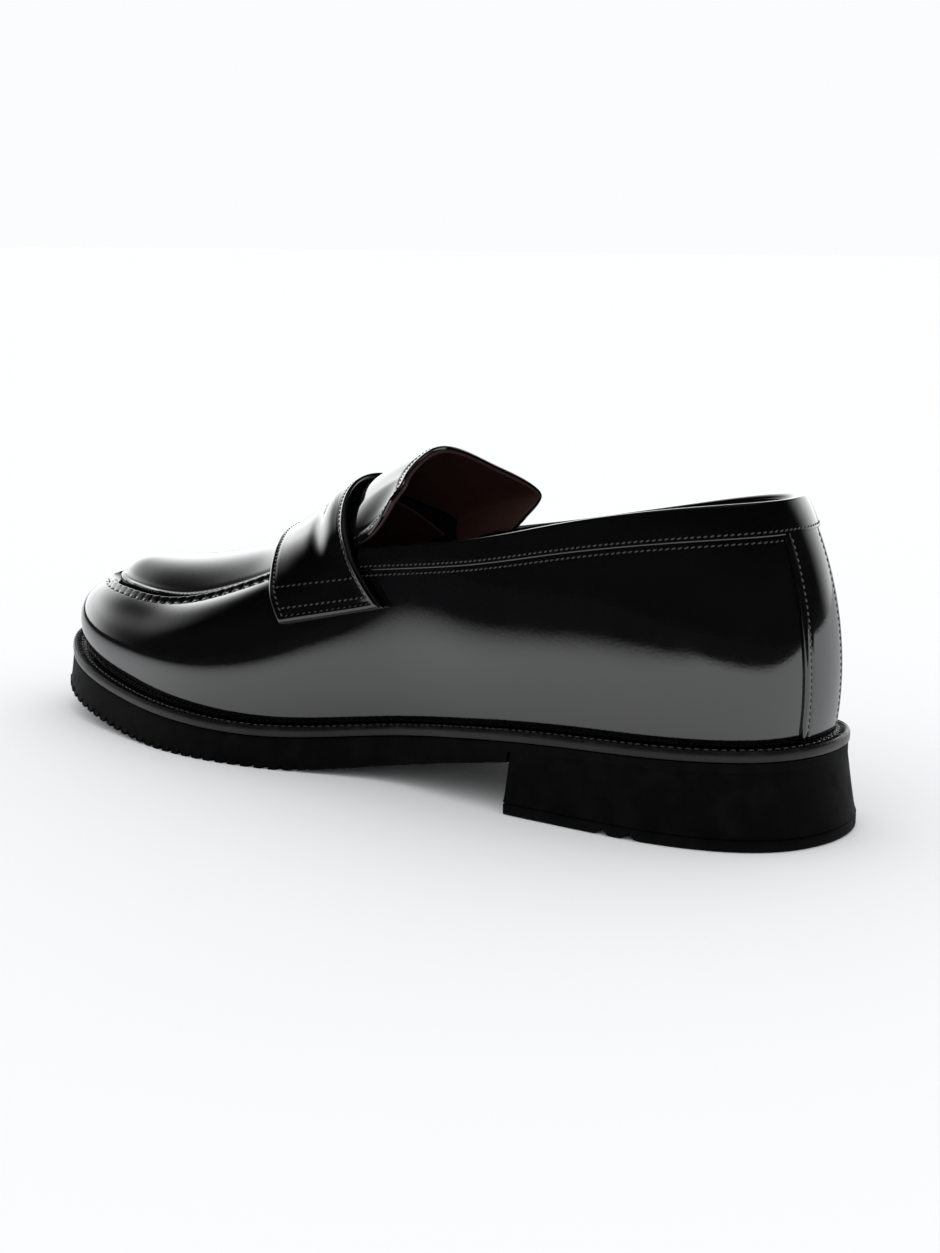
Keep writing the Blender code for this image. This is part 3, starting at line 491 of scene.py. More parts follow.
def seamArc(u):
    # Millimetres along the top line from the toe.
    fine = np.linspace(0, 1, 4001)
    top = lastRows(fine)[:, 2:4]
    length = np.append(0.0, np.cumsum(np.hypot(*np.diff(top, axis=0).T)))
    return np.interp(np.mod(u, 1.0), fine, length - np.interp(0.5, fine, length))


def apronZone(u):
    # 1 along the seam of the apron, and 0 from under the strap to the heel.
    return 1 - smooth(*sideWall["seamEnd"], lastRows(u)[..., 3])


def collarZone(u):
    # 1 where the collar is rolled over the top line, and 0 ahead of the throat.
    return smooth(*sideWall["collarStart"], lastRows(u)[..., 3])


def seamRelief(u, down):
    # The raised seam: a round ridge beside the seam, a groove at it, and a pit for each
    # stitch on the ridge's outer foot.
    pits = (0.5 + 0.5 * np.cos(2 * math.pi * seamArc(u) / sideWall["seamPitch"]))**3
    ridge = bump(down, sideWall["ridgePlace"], sideWall["ridgeWidth"])
    relief = sideWall["ridgeHeight"] * ridge * (1 - 0.06 * pits)
    relief -= sideWall["grooveDepth"] * bump(down, 0, 0.75)
    relief -= sideWall["pitDepth"] * bump(down, sideWall["pitPlace"], 0.6) * pits
    return apronZone(u) * relief


def makeSideWall():
    u = (np.arange(sideWall["stations"]) / sideWall["stations"])[:, None]
    down = np.append(np.linspace(0, 7.2, 30), (7.8, 8.6, 9.6, 11))[None]
    speed = topSpeed(u)
    drop = sideWall["underRoll"] * collarZone(u)
    topV = 1 - (down + drop) / speed
    lowV = topV[:, -1:] * np.linspace(0, 1, 22)[None, :-1]
    v = np.concatenate([lowV, topV[:, ::-1]], axis=1)
    out = np.concatenate([np.zeros_like(lowV), seamRelief(u, down)[:, ::-1]], axis=1)
    outer = onWall(u, v, out)
    innerV = v[:, np.linspace(0, v.shape[1] - 1, 9).astype(int)]
    inner = onWall(u, innerV, -sideWall["leather"])
    piece = loft("vampWall", sheetProfile(outer, inner), black, closed=True)
    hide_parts("vamp_wall")


apron = {"rows": 150, "across": 97, "back": -4.6, "bow": 14.5, "bowStart": -64.0,
         "leather": 1.4, "inset": 0.75, "sinks": 1.1, "cordHeight": 0.75, "cordPlace": 1.15,
         "cordWidth": 0.62, "toeEase": 10.0, "lining": (1.7, 2.7)}


def apronGrid(rows, across, inset):
    # Rows between facing points of the top line, domed up to the crest by 1 - |a|^2.2 and
    # eased in at the toe. Near the strap they bow forward by 1 - a2.
    ends = [placeAtTopY(apron["back"], side) % 1.0 for side in (-1, 1)]
    share = np.linspace(0.012, 1, rows)**1.5
    a = np.linspace(-1, 1, across)
    a = np.sign(a) * (1 - (1 - np.abs(a))**1.35)
    sides = []
    for end in ends:
        u = 0.5 + share * (end - 0.5)
        table, outward = lastAt(u)
        z = weltTop(table[:, 1]) + table[:, 4]
        sides.append(np.column_stack([table[:, 2:4] - inset * outward, z]))
    low, high = sides[0][:, None], sides[1][:, None]
    grid = low + (a[None, :, None] + 1) / 2 * (high - low)
    bowLength = apron["back"] - apron["bowStart"]
    back = np.clip((low[..., 1] - apron["bowStart"]) / bowLength, 0, 1)
    grid[..., 1] -= apron["bow"] * back**1.5 * (1 - a * a)
    middle = grid[:, across // 2, 1]
    rise = crest(middle) - (low[:, 0, 2] + high[:, 0, 2]) / 2
    toe = grid[0, across // 2, 1]
    ease = 1 - (1 - np.clip((middle - toe) / apron["toeEase"], 0, 1))**3
    grid[..., 2] += (rise * ease)[:, None] * (1 - np.abs(a)**2.2)
    return grid, sides


def distanceToSeam(grid, sides):
    # The shortest distance in plan from each point to the seam's own points.
    seam = np.concatenate([side[::2, :2] for side in sides])
    apart = grid[..., None, :2] - seam
    return np.sqrt((apart**2).sum(-1).min(-1))


def makeApron():
    grid, sides = apronGrid(apron["rows"], apron["across"], apron["inset"])
    near = distanceToSeam(grid, sides)
    normals = gridNormals(grid)
    cord = apron["cordHeight"] * bump(near, apron["cordPlace"], apron["cordWidth"])
    sunk = apron["sinks"] * bump(near, 0, 0.8) + 0.3 * bump(near, 2.4, 0.7)
    fade = 1 - smooth(*sideWall["seamEnd"], grid[..., 1])
    outer = grid + ((cord - sunk) * fade)[..., None] * normals
    inner = grid - apron["leather"] * normals
    # the grid's across direction takes the place of the way up a profile
    piece = loft("apronLeather", sheetProfile(outer[:, ::-1], inner[:, ::-1]), black)
    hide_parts("apron")
    # the lining stops a few rows short of the leather's edge
    lower, lowest = ((grid - depth * normals)[2:-2, 4:-4][:, ::-1] for depth in apron["lining"])
    piece = loft("apronLining", sheetProfile(lower, lowest), brown)
    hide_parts("apron_lining")


collar = {"throat": 3.0, "seamV": 0.80, "stations": 620, "outer": 1.05, "inner": -3.95,
          "rollHeight": 1.35, "edgeLift": 0.75, "leg": 6.5, "thickness": 0.8, "puff": 0.12,
          "skived": (0.25, 0.7)}


def collarPath(u):
    # The band's outer face: out from the seam over a soft puff, round the top line in half
    # an ellipse, and a short way down inside. Gives v and out for each point.
    half = (collar["outer"] - collar["inner"]) / 2
    centre = (collar["outer"] + collar["inner"]) / 2
    tall = collar["rollHeight"]
    speed = topSpeed(u)
    share = edgeSpread(26, 1.5)[None]
    endV = 1 - tall / speed
    side = collar["seamV"] + share * (endV - collar["seamV"])
    sideOut = (collar["outer"] + collar["puff"] * np.sin(math.pi * share)**1.2
               - (collar["outer"] - collar["edgeLift"]) * (1 - roundedEdge(share * 12, 0.5)))
    turn = np.linspace(0, math.pi, 19)[None, 1:]
    topOut = centre + half * np.cos(turn) + 0 * u
    topDown = tall * (1 - np.sin(turn)**0.8) + 0 * u
    leg = np.linspace(0, 1, 6)[None, 1:]
    legOut = collar["inner"] + 0.25 * leg**4 + 0 * u
    legDown = tall + leg * (collar["leg"] - tall) + 0 * u
    v = np.concatenate([side, 1 - topDown / speed, 1 - legDown / speed], 1)
    return v, np.concatenate([sideOut + 0 * u, topOut, legOut], 1)


def makeCollar():
    ends = [placeAtTopY(collar["throat"], side) for side in (-1, 1)]
    u = np.linspace(*ends, collar["stations"])[:, None]
    v, out = collarPath(u)
    outer = onWall(u, v, out)
    tangent = np.gradient(outer, axis=1)
    along = np.gradient(outer, axis=0)
    normals = unit(np.cross(tangent, along))
    thick = collar["thickness"] * np.ones(v.shape[1])
    thick[:2] = collar["skived"]
    inner = outer - thick[None, :, None] * normals
    piece = loft("collarBand", sheetProfile(outer, inner), black)
    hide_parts("collar_band")


backStrip = {"halfWidth": 11.4, "outer": 1.25, "edge": 0.12, "inner": -0.25, "seam": 2.3,
             "dent": 0.22, "stations": 160, "across": 41}


def makeBackStrip():
    half = backStrip["halfWidth"] / ringKnots[-1]
    across = edgeSpread(backStrip["across"], 2.2)[None] * 2 - 1
    v = np.linspace(0.0, collar["seamV"] + 0.004, backStrip["stations"])[:, None]
    u = half * across
    edge = (1 - np.abs(across)) * backStrip["halfWidth"]
    out = backStrip["edge"] + (backStrip["outer"] - backStrip["edge"]) * roundedEdge(edge, 0.9)
    out = out - backStrip["dent"] * bump(edge, backStrip["seam"], 0.5)
    outer, inner = onWall(u, v, out), onWall(u, v, backStrip["inner"])
    # the path runs up the heel and the profile round it, so the profile is turned over
    piece = loft("backStrip", sheetProfile(outer[:, ::-1], inner[:, ::-1]), black)
    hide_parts("back_strip")


lining = {"outer": -2.8, "inner": -3.8, "heelFront": 112.0, "topDown": 3.2, "trim": 0.12}


def wallSheet(name, u, v, layer, material):
    # A sheet behind the side's face, between the layer's outer and inner depths.
    grids = [onWall(u, v, layer[face]) for face in ("outer", "inner")]
    return loft(name, sheetProfile(*grids), material)


def liningSheet(name, node, start, stop, topV=None):
    count = max(40, int(abs(stop - start) * 700))
    trim = lining["trim"] / ringKnots[-1]
    u = np.linspace(start + trim, stop - trim, count)[:, None]
    top = 1 - lining["topDown"] / topSpeed(u) if topV is None else topV + 0 * u
    v = top * np.linspace(0, 1, 30)[None]
    piece = wallSheet(name, u, v, lining, brown)
    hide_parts(node)


def makeLinings():
    heelOut, heelIn = (placeAtTopY(lining["heelFront"], side) for side in (-1, 1))
    throatOut, throatIn = (placeAtTopY(collar["throat"], side) for side in (-1, 1))
    liningSheet("heelLining", "heel_lining", heelOut, heelIn)
    liningSheet("quarterLiningInner", "quarter_lining_inner", heelIn, throatIn)
    liningSheet("quarterLiningOuter", "quarter_lining_outer", throatOut, heelOut)
    liningSheet("vampLining", "vamp_lining", throatIn, throatOut + 1, topV=0.9)


puff = {"back": -108.0, "outer": -1.75, "inner": -2.5, "topDown": 4.5}


def makePuff():
    # The stiffener round the toe, up to a little under the apron's seam.
    ends = [placeAtTopY(puff["back"], side) % 1.0 for side in (1, -1)]
    u = np.linspace(*ends, 160)[:, None]
    v = (1 - puff["topDown"] / topSpeed(u)) * np.linspace(0, 1, 24)[None]
    piece = wallSheet("toePuff", u, v, puff, materials["fibreBoard"])
    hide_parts("toe_puff")


padding = {"outer": -1.75, "inner": -2.5, "topDown": 2.8}


def makePadding():
    # Foam under the collar band, from the seam to a little under the top line.
    ends = [placeAtTopY(collar["throat"], side) for side in (-1, 1)]
    u = np.linspace(*ends, 240)[:, None]
    top = 1 - padding["topDown"] / topSpeed(u)
    v = collar["seamV"] + (top - collar["seamV"]) * np.linspace(0, 1, 8)[None]
    piece = wallSheet("collarPadding", u, v, padding, materials["latexFoam"])
    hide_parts("collar_padding")


tongue = {"leather": 1.3, "lining": 0.9, "across": 181, "along": 70, "dip": 4.2,
          "seam": 2.4}
# The tongue's root, under the strap, and its free edge: the place across, then x, y, z.
tongueRoot = np.array([
    (-1.4, -24.6, 1, 67), (-1.2, -27, -1.8, 72.5), (-1, -29, -3.7, 77),
    (-0.66, -19.1, -11.9, 84.3), (-0.33, -9.6, -16.6, 88.6), (0, 0, -18.2, 90),
    (0.33, 9.6, -16.6, 88.6), (0.66, 19.1, -11.9, 84.3), (1, 29, -3.7, 77),
    (1.15, 30.2, -1.5, 73)])
tongueEdge = np.array([
    (-1.4, -24.8, 22, 74), (-1.2, -29.4, 26.3, 80.8), (-1, -33, 28.5, 87.2),
    (-0.66, -22, 20.5, 96.6), (-0.33, -11, 15.5, 102.3), (0, 0, 13.2, 105.2),
    (0.33, 10.5, 13.2, 103.6), (0.66, 19.5, 13.8, 98.9), (1, 28.5, 16.5, 94),
    (1.15, 31, 14, 89.5)])


def tongueGrid(across, along, low=-1.38, high=1.12):
    # A curved sheet between the two curves, read by a spline: a straight run from one to
    # the other, lifted by half a sine wave that turns to a dip at the inner side.
    a = np.linspace(low, high, across)
    s = np.linspace(0, 1, along)[:, None, None]
    root, edge = (splineAt(line[:, 0], line[:, 1:], a)[None]
                  for line in (tongueRoot, tongueEdge))
    grid = root + s * (edge - root)
    arch = 1.2 - tongue["dip"] * smooth(0.75, 1, a)
    grid[..., 2] += arch[None] * np.sin(math.pi * s[..., 0])
    return grid


def sheetEdges(grid):
    # Millimetres from each point to the nearest side, and to the last row.
    width = np.linalg.norm(grid[:, -1] - grid[:, 0], axis=-1)[:, None]
    length = np.linalg.norm(grid[-1] - grid[0], axis=-1)[None]
    a = np.linspace(0, 1, grid.shape[1])[None]
    s = np.linspace(0, 1, grid.shape[0])[:, None]
    return np.minimum(a, 1 - a) * width, (1 - s) * length


def makeTongue():
    grid = tongueGrid(tongue["across"], tongue["along"])
    normals = gridNormals(grid)
    side, end = sheetEdges(grid)
    edge = np.minimum(side, end)
    rounded = roundedEdge(edge, 0.65)
    dent = 0.18 * bump(edge, tongue["seam"], 0.5)
    middle = -tongue["leather"] / 2
    outer = grid + ((middle * (1 - rounded) - dent)[..., None]) * normals
    inner = grid + ((-tongue["leather"] - middle * (1 - rounded))[..., None]) * normals
    top = loft("tongueLeather", sheetProfile(outer[:, ::-1], inner[:, ::-1]), black, body="")
    low = -tongue["leather"] - 0.05
    rounded = roundedEdge(edge, 0.45)
    half = tongue["lining"] / 2
    outer = grid + (low - half + half * rounded)[..., None] * normals
    inner = grid + (low - half - half * rounded)[..., None] * normals
    under = loft("tongueLining", sheetProfile(outer[:, ::-1], inner[:, ::-1]), brown, body="")
    return top, under, grid, normals


strap = {"swing": 86.0, "lift": 0.7, "backing": 0.9, "leather": 1.5, "foldLow": 0.5,
         "across": 221, "slotLength": 24.0, "slotWidth": 4.4, "run": 76.0,
         "front": (-51.5, 31.0), "back": (-16.8, 33.0), "centre": 45.0, "centreRise": 9.0,
         "edgeRadius": 1.5, "lipRadius": 0.6, "seam": 3.0, "fold": (1.6, 3.4), "fan": 40.0}


def softPower(a, power):
    # |a| to a power, rounded off at 0, and 1 at the ends.
    soft = 0.08
    low = soft**(power / 2)
    return ((a * a + soft)**(power / 2) - low) / ((1 + soft)**(power / 2) - low)


def strapEdges(a):
    # How far back the strap's front edge and its back edge stand at a.
    return (strap["front"][0] + strap["front"][1] * softPower(a, 1.4),
            strap["back"][0] + strap["back"][1] * softPower(a, 1.5))


def strapRays(a, share):
    # Rays from the middle of the shoe, fanned over the instep in planes across it, from
    # the strap's front edge at share 0 to its back edge at share 1.
    a, share = np.broadcast_arrays(a, share)
    front, back = strapEdges(a)
    angle = math.radians(strap["swing"]) * a
    start = np.stack([0 * a, front + share * (back - front),
                      strap["centre"] + strap["centreRise"] * share], -1)
    return start, np.stack([np.sin(angle), 0 * a, np.cos(angle)], -1)


def farthestHit(starts, ways, triangles):
    # For each ray, the farthest triangle that it meets, by solving start + t way =
    # corner + p edge1 + q edge2 for every ray and triangle at once.
    corner, first, second = (triangles[:, k] for k in range(3))
    edge1, edge2 = first - corner, second - corner
    cross = np.cross(ways[:, None], edge2[None])
    size = (cross * edge1).sum(-1)
    size = np.where(np.abs(size) < 1e-9, 1e-9, size)
    apart = starts[:, None] - corner
    p = (apart * cross).sum(-1) / size
    turned = np.cross(apart, edge1[None])
    q = (ways[:, None] * turned).sum(-1) / size
    t = (edge2 * turned).sum(-1) / size
    met = (p >= -1e-6) & (q >= -1e-6) & (p + q <= 1 + 1e-6) & (t > 0)
    return np.where(met, t, 0).max(1)


def gridTriangles(grid):
    a, b, c, d = grid[:-1, :-1], grid[:-1, 1:], grid[1:, 1:], grid[1:, :-1]
    return np.concatenate([np.stack([a, b, c], 2), np.stack([a, c, d], 2)]).reshape(-1, 3, 3)


def strapReach():
    # How far each ray goes to the leather under the strap. Pulled tight, the strap bridges
    # the hollows: each reach is at least the mean of its two neighbours.
    coarseU = np.linspace(0, 1, 145)[:, None]
    coarseV = np.linspace(0, 1, 17)[None]
    wall = onWall(coarseU, coarseV, 0.0)
    ends = [placeAtTopY(collar["throat"], side) for side in (-1, 1)]
    bandU = np.linspace(*ends, 110)[:, None]
    band = onWall(bandU, np.linspace(collar["seamV"], 1, 4)[None], 1.5)
    hood = apronGrid(41, 17, 1.7)[0]
    flap = tongueGrid(31, 9, -1.12, 1.12)
    margin = np.stack([flap[0] - (0, 10, 4.8), flap[0]])
    triangles = np.concatenate([gridTriangles(g) for g in (wall, band, hood, flap, margin)])
    a = np.linspace(-1, 1, 27)
    starts, ways = strapRays(a, np.linspace(0, 1, 9)[:, None])
    reach = np.stack([farthestHit(s, w, triangles) for s, w in zip(starts, ways)])
    reach = np.stack([np.interp(a, a[row > 0], row[row > 0]) for row in reach])
    for _ in range(12):
        reach[:, 1:-1] = np.maximum(reach[:, 1:-1], (reach[:, :-2] + reach[:, 2:]) / 2)
    return reach


def strapSurface(reach, a, share, lift):
    # The strap's face at any a and share, moved out by lift: the reach is read by a spline
    # along each direction.
    coarse = np.linspace(-1, 1, reach.shape[1])
    fineA = splineAt(coarse, reach.T, a[0])
    rows = splineAt(np.linspace(0, 1, reach.shape[0]), fineA.T, np.linspace(0, 1, 41))
    place = np.clip(share, 0, 1) * 40
    low = np.clip(place.astype(int), 0, 39)
    column = np.arange(a.shape[1])[None] + 0 * low
    part = place - low
    far = rows[low, column] * (1 - part) + rows[low + 1, column] * part
    start, way = strapRays(a, share)
    return start + way * (far + lift)[..., None]


def strapWidth(a):
    # Millimetres from edge to edge, with a share added for the curve between them.
    front, back = strapEdges(a)
    return np.hypot(back - front, strap["centreRise"]) * 1.12


def makeStrap():
    # Two grids with a slot cut through both at the middle: the rows open to a lens there.
    # The outer edges fold down over the backing.
    reach = strapReach()
    a = np.linspace(-1, 1, strap["across"])[None]
    width = strapWidth(a)
    across = np.sin(math.radians(strap["swing"]) * a) * strap["fan"]
    reachOut = across / (strap["slotLength"] / 2)
    slot = strap["slotWidth"] / 2 * np.sqrt(np.clip(1 - reachOut**2, 0, 1))
    slot = np.maximum(slot, 0.25)
    half = edgeSpread(34, 1.8)[:, None]
    fore = half * (width / 2 - slot)
    aft = width / 2 + slot + half * (width / 2 - slot)
    place = np.concatenate([fore, aft])
    share = place / width
    a = a + 0 * share
    edge = np.minimum(place, width - place)
    ends = (1 - np.abs(a)) * strap["run"]
    edge = np.minimum(edge, ends)
    lip = np.minimum(np.abs(place - (width / 2 - slot)), np.abs(place - (width / 2 + slot)))
    inSlot = np.abs(across) < strap["slotLength"] / 2
    lip = np.where(inSlot, lip, 9.0)
    top = strap["lift"] + strap["backing"] + last["gap"] + strap["leather"]
    low = top - strap["leather"]
    edgeDrop = 1 - roundedEdge(edge, strap["edgeRadius"])
    lipDrop = 1 - roundedEdge(lip, strap["lipRadius"])
    seam = 0.2 * bump(edge, strap["seam"], 0.5)
    outerLift = top + 0.3 * bump(edge, 1.6, 1.2) - seam - edgeDrop * 1.3 - lipDrop * 0.6
    foldLow = strap["foldLow"] + (low - strap["foldLow"]) * smooth(*strap["fold"], edge)
    innerLift = foldLow + edgeDrop * 1.1 + lipDrop * 0.5
    outer = strapSurface(reach, a, share, outerLift)
    inner = strapSurface(reach, a, share, innerLift)
    rows, columns = a.shape
    i, j = np.meshgrid(np.arange(rows - 1), np.arange(columns - 1), indexing="ij")
    solid = ~((i == rows // 2 - 1) & inSlot[0, j] & inSlot[0, j + 1])
    i, j = i[solid], j[solid]
    corner = i * columns + j
    topFaces = np.stack([corner, corner + 1, corner + columns + 1, corner + columns], -1)
    lowFaces = topFaces[:, ::-1] + rows * columns
    faces = np.concatenate([topFaces, lowFaces])
    # a rim wall stands on each edge that only one face of the upper grid uses
    pairs = np.concatenate([topFaces[:, [k, (k + 1) % 4]] for k in range(4)])
    keys = np.sort(pairs, 1) @ (rows * columns, 1)
    _, first, counts = np.unique(keys, return_index=True, return_counts=True)
    lone = pairs[first[counts == 1]]
    rim = np.column_stack([lone[:, 1], lone[:, 0], lone[:, 0] + rows * columns,
                           lone[:, 1] + rows * columns])
    points = np.concatenate([outer.reshape(-1, 3), inner.reshape(-1, 3)])
    piece = addPiece("strap", points, np.concatenate([faces, rim]), black)
    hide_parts("strap")

    a = np.linspace(-0.985, 0.985, 120)[None]
    margin = 2.6 / strapWidth(a)
    share = margin + np.linspace(0, 1, 24)[:, None] * (1 - 2 * margin)
    a = a + 0 * share
    grids = [strapSurface(reach, a, share, strap["lift"] + lift) for lift in (0.95, 0.05)]
    piece = loft("strapBacking", sheetProfile(*grids), edgeBlack)
    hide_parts("strap_backing")
    return reach


welt = {"stations": 2400, "thickness": 3.4, "width": 17.0, "ribPitch": 1.75,
        "ribDepth": 0.42}


def makeWelt():
    # A flat strip carried round the edge. Its profile is (inset, height under the top),
    # with a rounded outer edge, and ribs pressed across the part that shows.
    thick, width = welt["thickness"], welt["width"]
    profile = np.array([(0.35, thick), (0.02, 3.1), (-0.05, 1.9), (0.0, 0.75), (0.22, 0.25),
                        (0.6, 0.03), (0.95, 0.0), (1.2, 0.16), (1.7, 0.3), (2.6, 0.34),
                        (3.4, 0.3), (4.0, 0.34), (4.6, 0.7), (6.0, 0.75), (width, 0.3),
                        (width, thick)])
    u = np.linspace(0, 1, welt["stations"], endpoint=False)[:, None]
    inset, down = profile[:, 0][None], profile[:, 1][None]
    plan = edgeLoop(u[:, 0], 0.0)
    arc = np.append(0.0, np.cumsum(np.hypot(*np.diff(plan, axis=0).T)))[:, None]
    whole = arc[-1, 0] + np.hypot(*(plan[0] - plan[-1]))
    ribs = round(whole / welt["ribPitch"])
    wave = 0.5 + 0.5 * np.cos(2 * math.pi * ribs * arc / whole)
    pressed = bump(inset, 2.5, 1.35) * welt["ribDepth"] * wave * (down < 1)
    rows, outward = lastAt(u)
    points = rows[..., :2] - inset[..., None] * outward
    z = weltTop(rows[..., 1]) - down - pressed
    rings = np.concatenate([points, z[..., None]], -1)
    piece = loft("welt", rings, weltBlack, closed=True, sharp=50)
    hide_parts("welt")


sole = {"edgeGap": 0.4, "flare": 1.8, "fade": 14.0, "breast": 68.0, "seat": 2.8,
        "treadPitch": 5.0, "treadDepth": 1.5, "treadGroove": 0.5, "treadFront": -150.0,
        "treadBack": -8.0, "toothBack": -128.0, "rows": 1100, "across": 28}


def chordEnds(share, inset, flare=0.0):
    # The two edge points at the share of the way from the toe's end to the heel's end. The
    # flare stands out all round the forepart and fades away just ahead of the heel.
    u = np.linspace(0, 1, 4001)
    rows, outward = lastAt(u)
    front = 1 - smooth(sole["breast"] - sole["fade"], sole["breast"], rows[:, 1])
    loop = rows[:, :2] - (inset - flare * front)[:, None] * outward
    toe, heel = int(np.argmin(loop[:, 1])), int(np.argmax(loop[:2000, 1]))
    low, high = loop[toe, 1] + 0.004, loop[heel, 1] - 0.004
    y = low + share * (high - low)
    inner = loop[heel:toe + 1][::-1]
    outer = np.concatenate([loop[toe:-1], loop[:heel + 1]])
    return y, np.interp(y, outer[:, 1], outer[:, 0]), np.interp(y, inner[:, 1], inner[:, 0])


def treadDepth(y):
    # Grooves across the forepart at an even pitch: saw teeth at the toe, which fall steeply
    # and rise at a slope, and behind them half circles, the root of 1 - t2.
    place = np.mod(y - sole["treadFront"], sole["treadPitch"]) / sole["treadPitch"]
    tooth = smooth(0.0, 0.12, place) * (1 - smooth(0.2, 0.75, place))
    groove = np.sqrt(np.clip(1 - ((place - 0.3) / (sole["treadGroove"] / 2))**2, 0, 1))
    blend = smooth(sole["toothBack"] - 5, sole["toothBack"], y)
    inside = smooth(sole["treadFront"], sole["treadFront"] + 3, y)
    inside = inside * (1 - smooth(sole["treadBack"] - 3, sole["treadBack"], y))
    return sole["treadDepth"] * inside * ((1 - blend) * 1.2 * tooth + blend * groove)


def soleTop(y):
    return weltTop(y) - welt["thickness"] - last["gap"]


def makeOutsole():
    # Cross rows from the toe to the heel. Each is a closed loop: the top, the hollowed
    # side down to the flared edge, the underside, and the other side.
    share = np.linspace(0, 1, sole["rows"])
    share = np.where(share < 0.04, 0.04 * (share / 0.04)**2, share)
    share = np.where(share > 0.96, 1 - 0.04 * ((1 - share) / 0.04)**2, share)
    share[0], share[-1] = 0.0, 1.0
    sides = ((0.0, 0.0), (0.06, 0.14), (0.12, 0.19), (0.3, 0.32), (0.5, 0.47), (0.68, 0.63),
             (0.78, 0.74), (0.84, 0.82), (0.9, 0.9), (0.95, 0.97), (0.985, 1.0), (1.0, 0.93))
    levels = []
    for part, flare in sides:
        y, left, right = chordEnds(share, sole["edgeGap"], flare * sole["flare"])
        seat = soleTop(y) - sole["seat"]
        low = np.where(y > sole["breast"], seat, underside(y))
        high = soleTop(y)
        z = high + part * (low - high) + treadDepth(y) * smooth(0.8, 0.97, part)
        levels.append((y, left, right, z))
    columns = np.linspace(0, 1, sole["across"])

    def strip(level, order):
        y, left, right, z = level
        x = left[:, None] + columns[order] * (right - left)[:, None]
        return np.stack([x, y[:, None] + 0 * x, z[:, None] + 0 * x], -1)

    def edge(level, column):
        y, left, right, z = level
        return np.stack([(left, right)[column], y, z], -1)[:, None]

    forward, back = slice(None), slice(None, None, -1)
    parts = [strip(levels[0], back)]
    parts += [edge(level, 0) for level in levels[1:-1]]
    parts += [strip(levels[-1], forward)]
    parts += [edge(level, 1) for level in levels[-2:0:-1]]
    rings = np.concatenate(parts, axis=1)
    piece = capLoft("outsole", rings, rubber)
    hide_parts("outsole")


def capLoft(name, rings, material, **more):
    # A loft whose two end profiles are closed by one flat face each.
    count, around = rings.shape[:2]
    faces = loftFaces(count, around, True)[:(count - 1) * around]
    ends = [list(range(around))[::-1], list(range((count - 1) * around, count * around))]
    return addPiece(name, rings, faces.tolist() + ends, material, **more)


heel = {"front": 69.1, "flare": 2.8, "lift": 3.6, "stations": 620, "round": 0.9,
        "notches": (104.3, 113.3), "notchDepth": 1.9, "notchWidth": 1.5, "notchSide": 20.0,
        "notchFade": 2.8}


def heelRing(inset, z, stations):
    # A loop at one level: round the heel's edge and straight across the breast. z is a
    # function of y.
    u = np.linspace(-0.5, 0.5, 6001)
    loop = edgeLoop(u, inset)
    ahead = loop[:, 1] > heel["front"]
    loop = loop[ahead]
    arc = np.append(0.0, np.cumsum(np.hypot(*np.diff(loop, axis=0).T)))
    even = np.linspace(0, arc[-1], stations)
    ring = np.stack([np.interp(even, arc, loop[:, c]) for c in range(2)], -1)
    return np.column_stack([ring, z(ring[:, 1])])


def fillFaces(stations, start, up):
    # Closes a heel level: strips of four-sided faces between facing points.
    k = np.arange(stations // 2 - 1)
    faces = np.stack([k, k + 1, stations - 2 - k, stations - 1 - k], -1) + start
    return faces if up else faces[:, ::-1]


def heelBody(name, node, levels):
    stations = heel["stations"]
    rings = np.stack([heelRing(inset, z, stations) for inset, z in levels])
    # two small notches in the inner side's bottom edge, which fade out up the side
    notch = sum(bump(rings[..., 1], y, heel["notchWidth"]) for y in heel["notches"])
    notch = notch * heel["notchDepth"] * (rings[..., 0] > heel["notchSide"])
    rings[..., 2] += notch * (1 - smooth(0, heel["notchFade"], rings[..., 2]))
    i, j = np.meshgrid(np.arange(len(levels) - 1), np.arange(stations), indexing="ij")
    a, b = i * stations + j, i * stations + (j + 1) % stations
    sides = np.stack([a, a + stations, b + stations, b], -1).reshape(-1, 4)
    topStart = (len(levels) - 1) * stations
    faces = np.concatenate([sides, fillFaces(stations, 0, False),
                            fillFaces(stations, topStart, True)])
    piece = addPiece(name, rings, faces, rubber)
    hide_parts(node)


def heelTop(y):
    return soleTop(y) - sole["seat"] - 0.05


def makeHeel():
    # The block's side is a little hollow: its flare grows as the square of the way down.
    levels = []
    base = heel["lift"] + 0.12
    for t in np.append(np.linspace(0, 1, 14), (1.0,)):
        inset = -heel["flare"] + (heel["flare"] + 0.5) * t**0.8
        levels.append((inset, lambda y, t=t: base + t * (heelTop(y) - base)))
    levels[0] = (0.45 - heel["flare"], levels[0][1])
    levels.insert(1, (-heel["flare"], lambda y: 0 * y + base + 0.45))
    heelBody("heelBlock", "heel_block", levels[:-1])
    rim = []
    for t in np.linspace(0, math.pi / 2, 6):
        inset = heel["round"] * (1 - math.sin(t)) - heel["flare"]
        rim.append((inset, lambda y, t=t: 0 * y + heel["round"] * (1 - math.cos(t))))
    rim.append((-heel["flare"], lambda y: 0 * y + heel["lift"] - 0.45))
    rim.append((0.35 - heel["flare"], lambda y: 0 * y + heel["lift"]))
    heelBody("heelTopLift", "heel_top_lift", rim)


sock = {"inset": 8.7, "thickness": 1.1, "board": 2.2, "cushion": 2.3, "ramp": (60.0, 82.0),
        "turnUp": 1.3, "turnWidth": 6.0}


def sockTop(y):
    # Over the insole board, and over the heel cushion behind its ramp.
    board = weltTop(y) + last["gap"] + sock["board"]
    cushion = sock["cushion"] * smooth(*sock["ramp"], y)
    return board + last["gap"] + cushion + sock["thickness"]


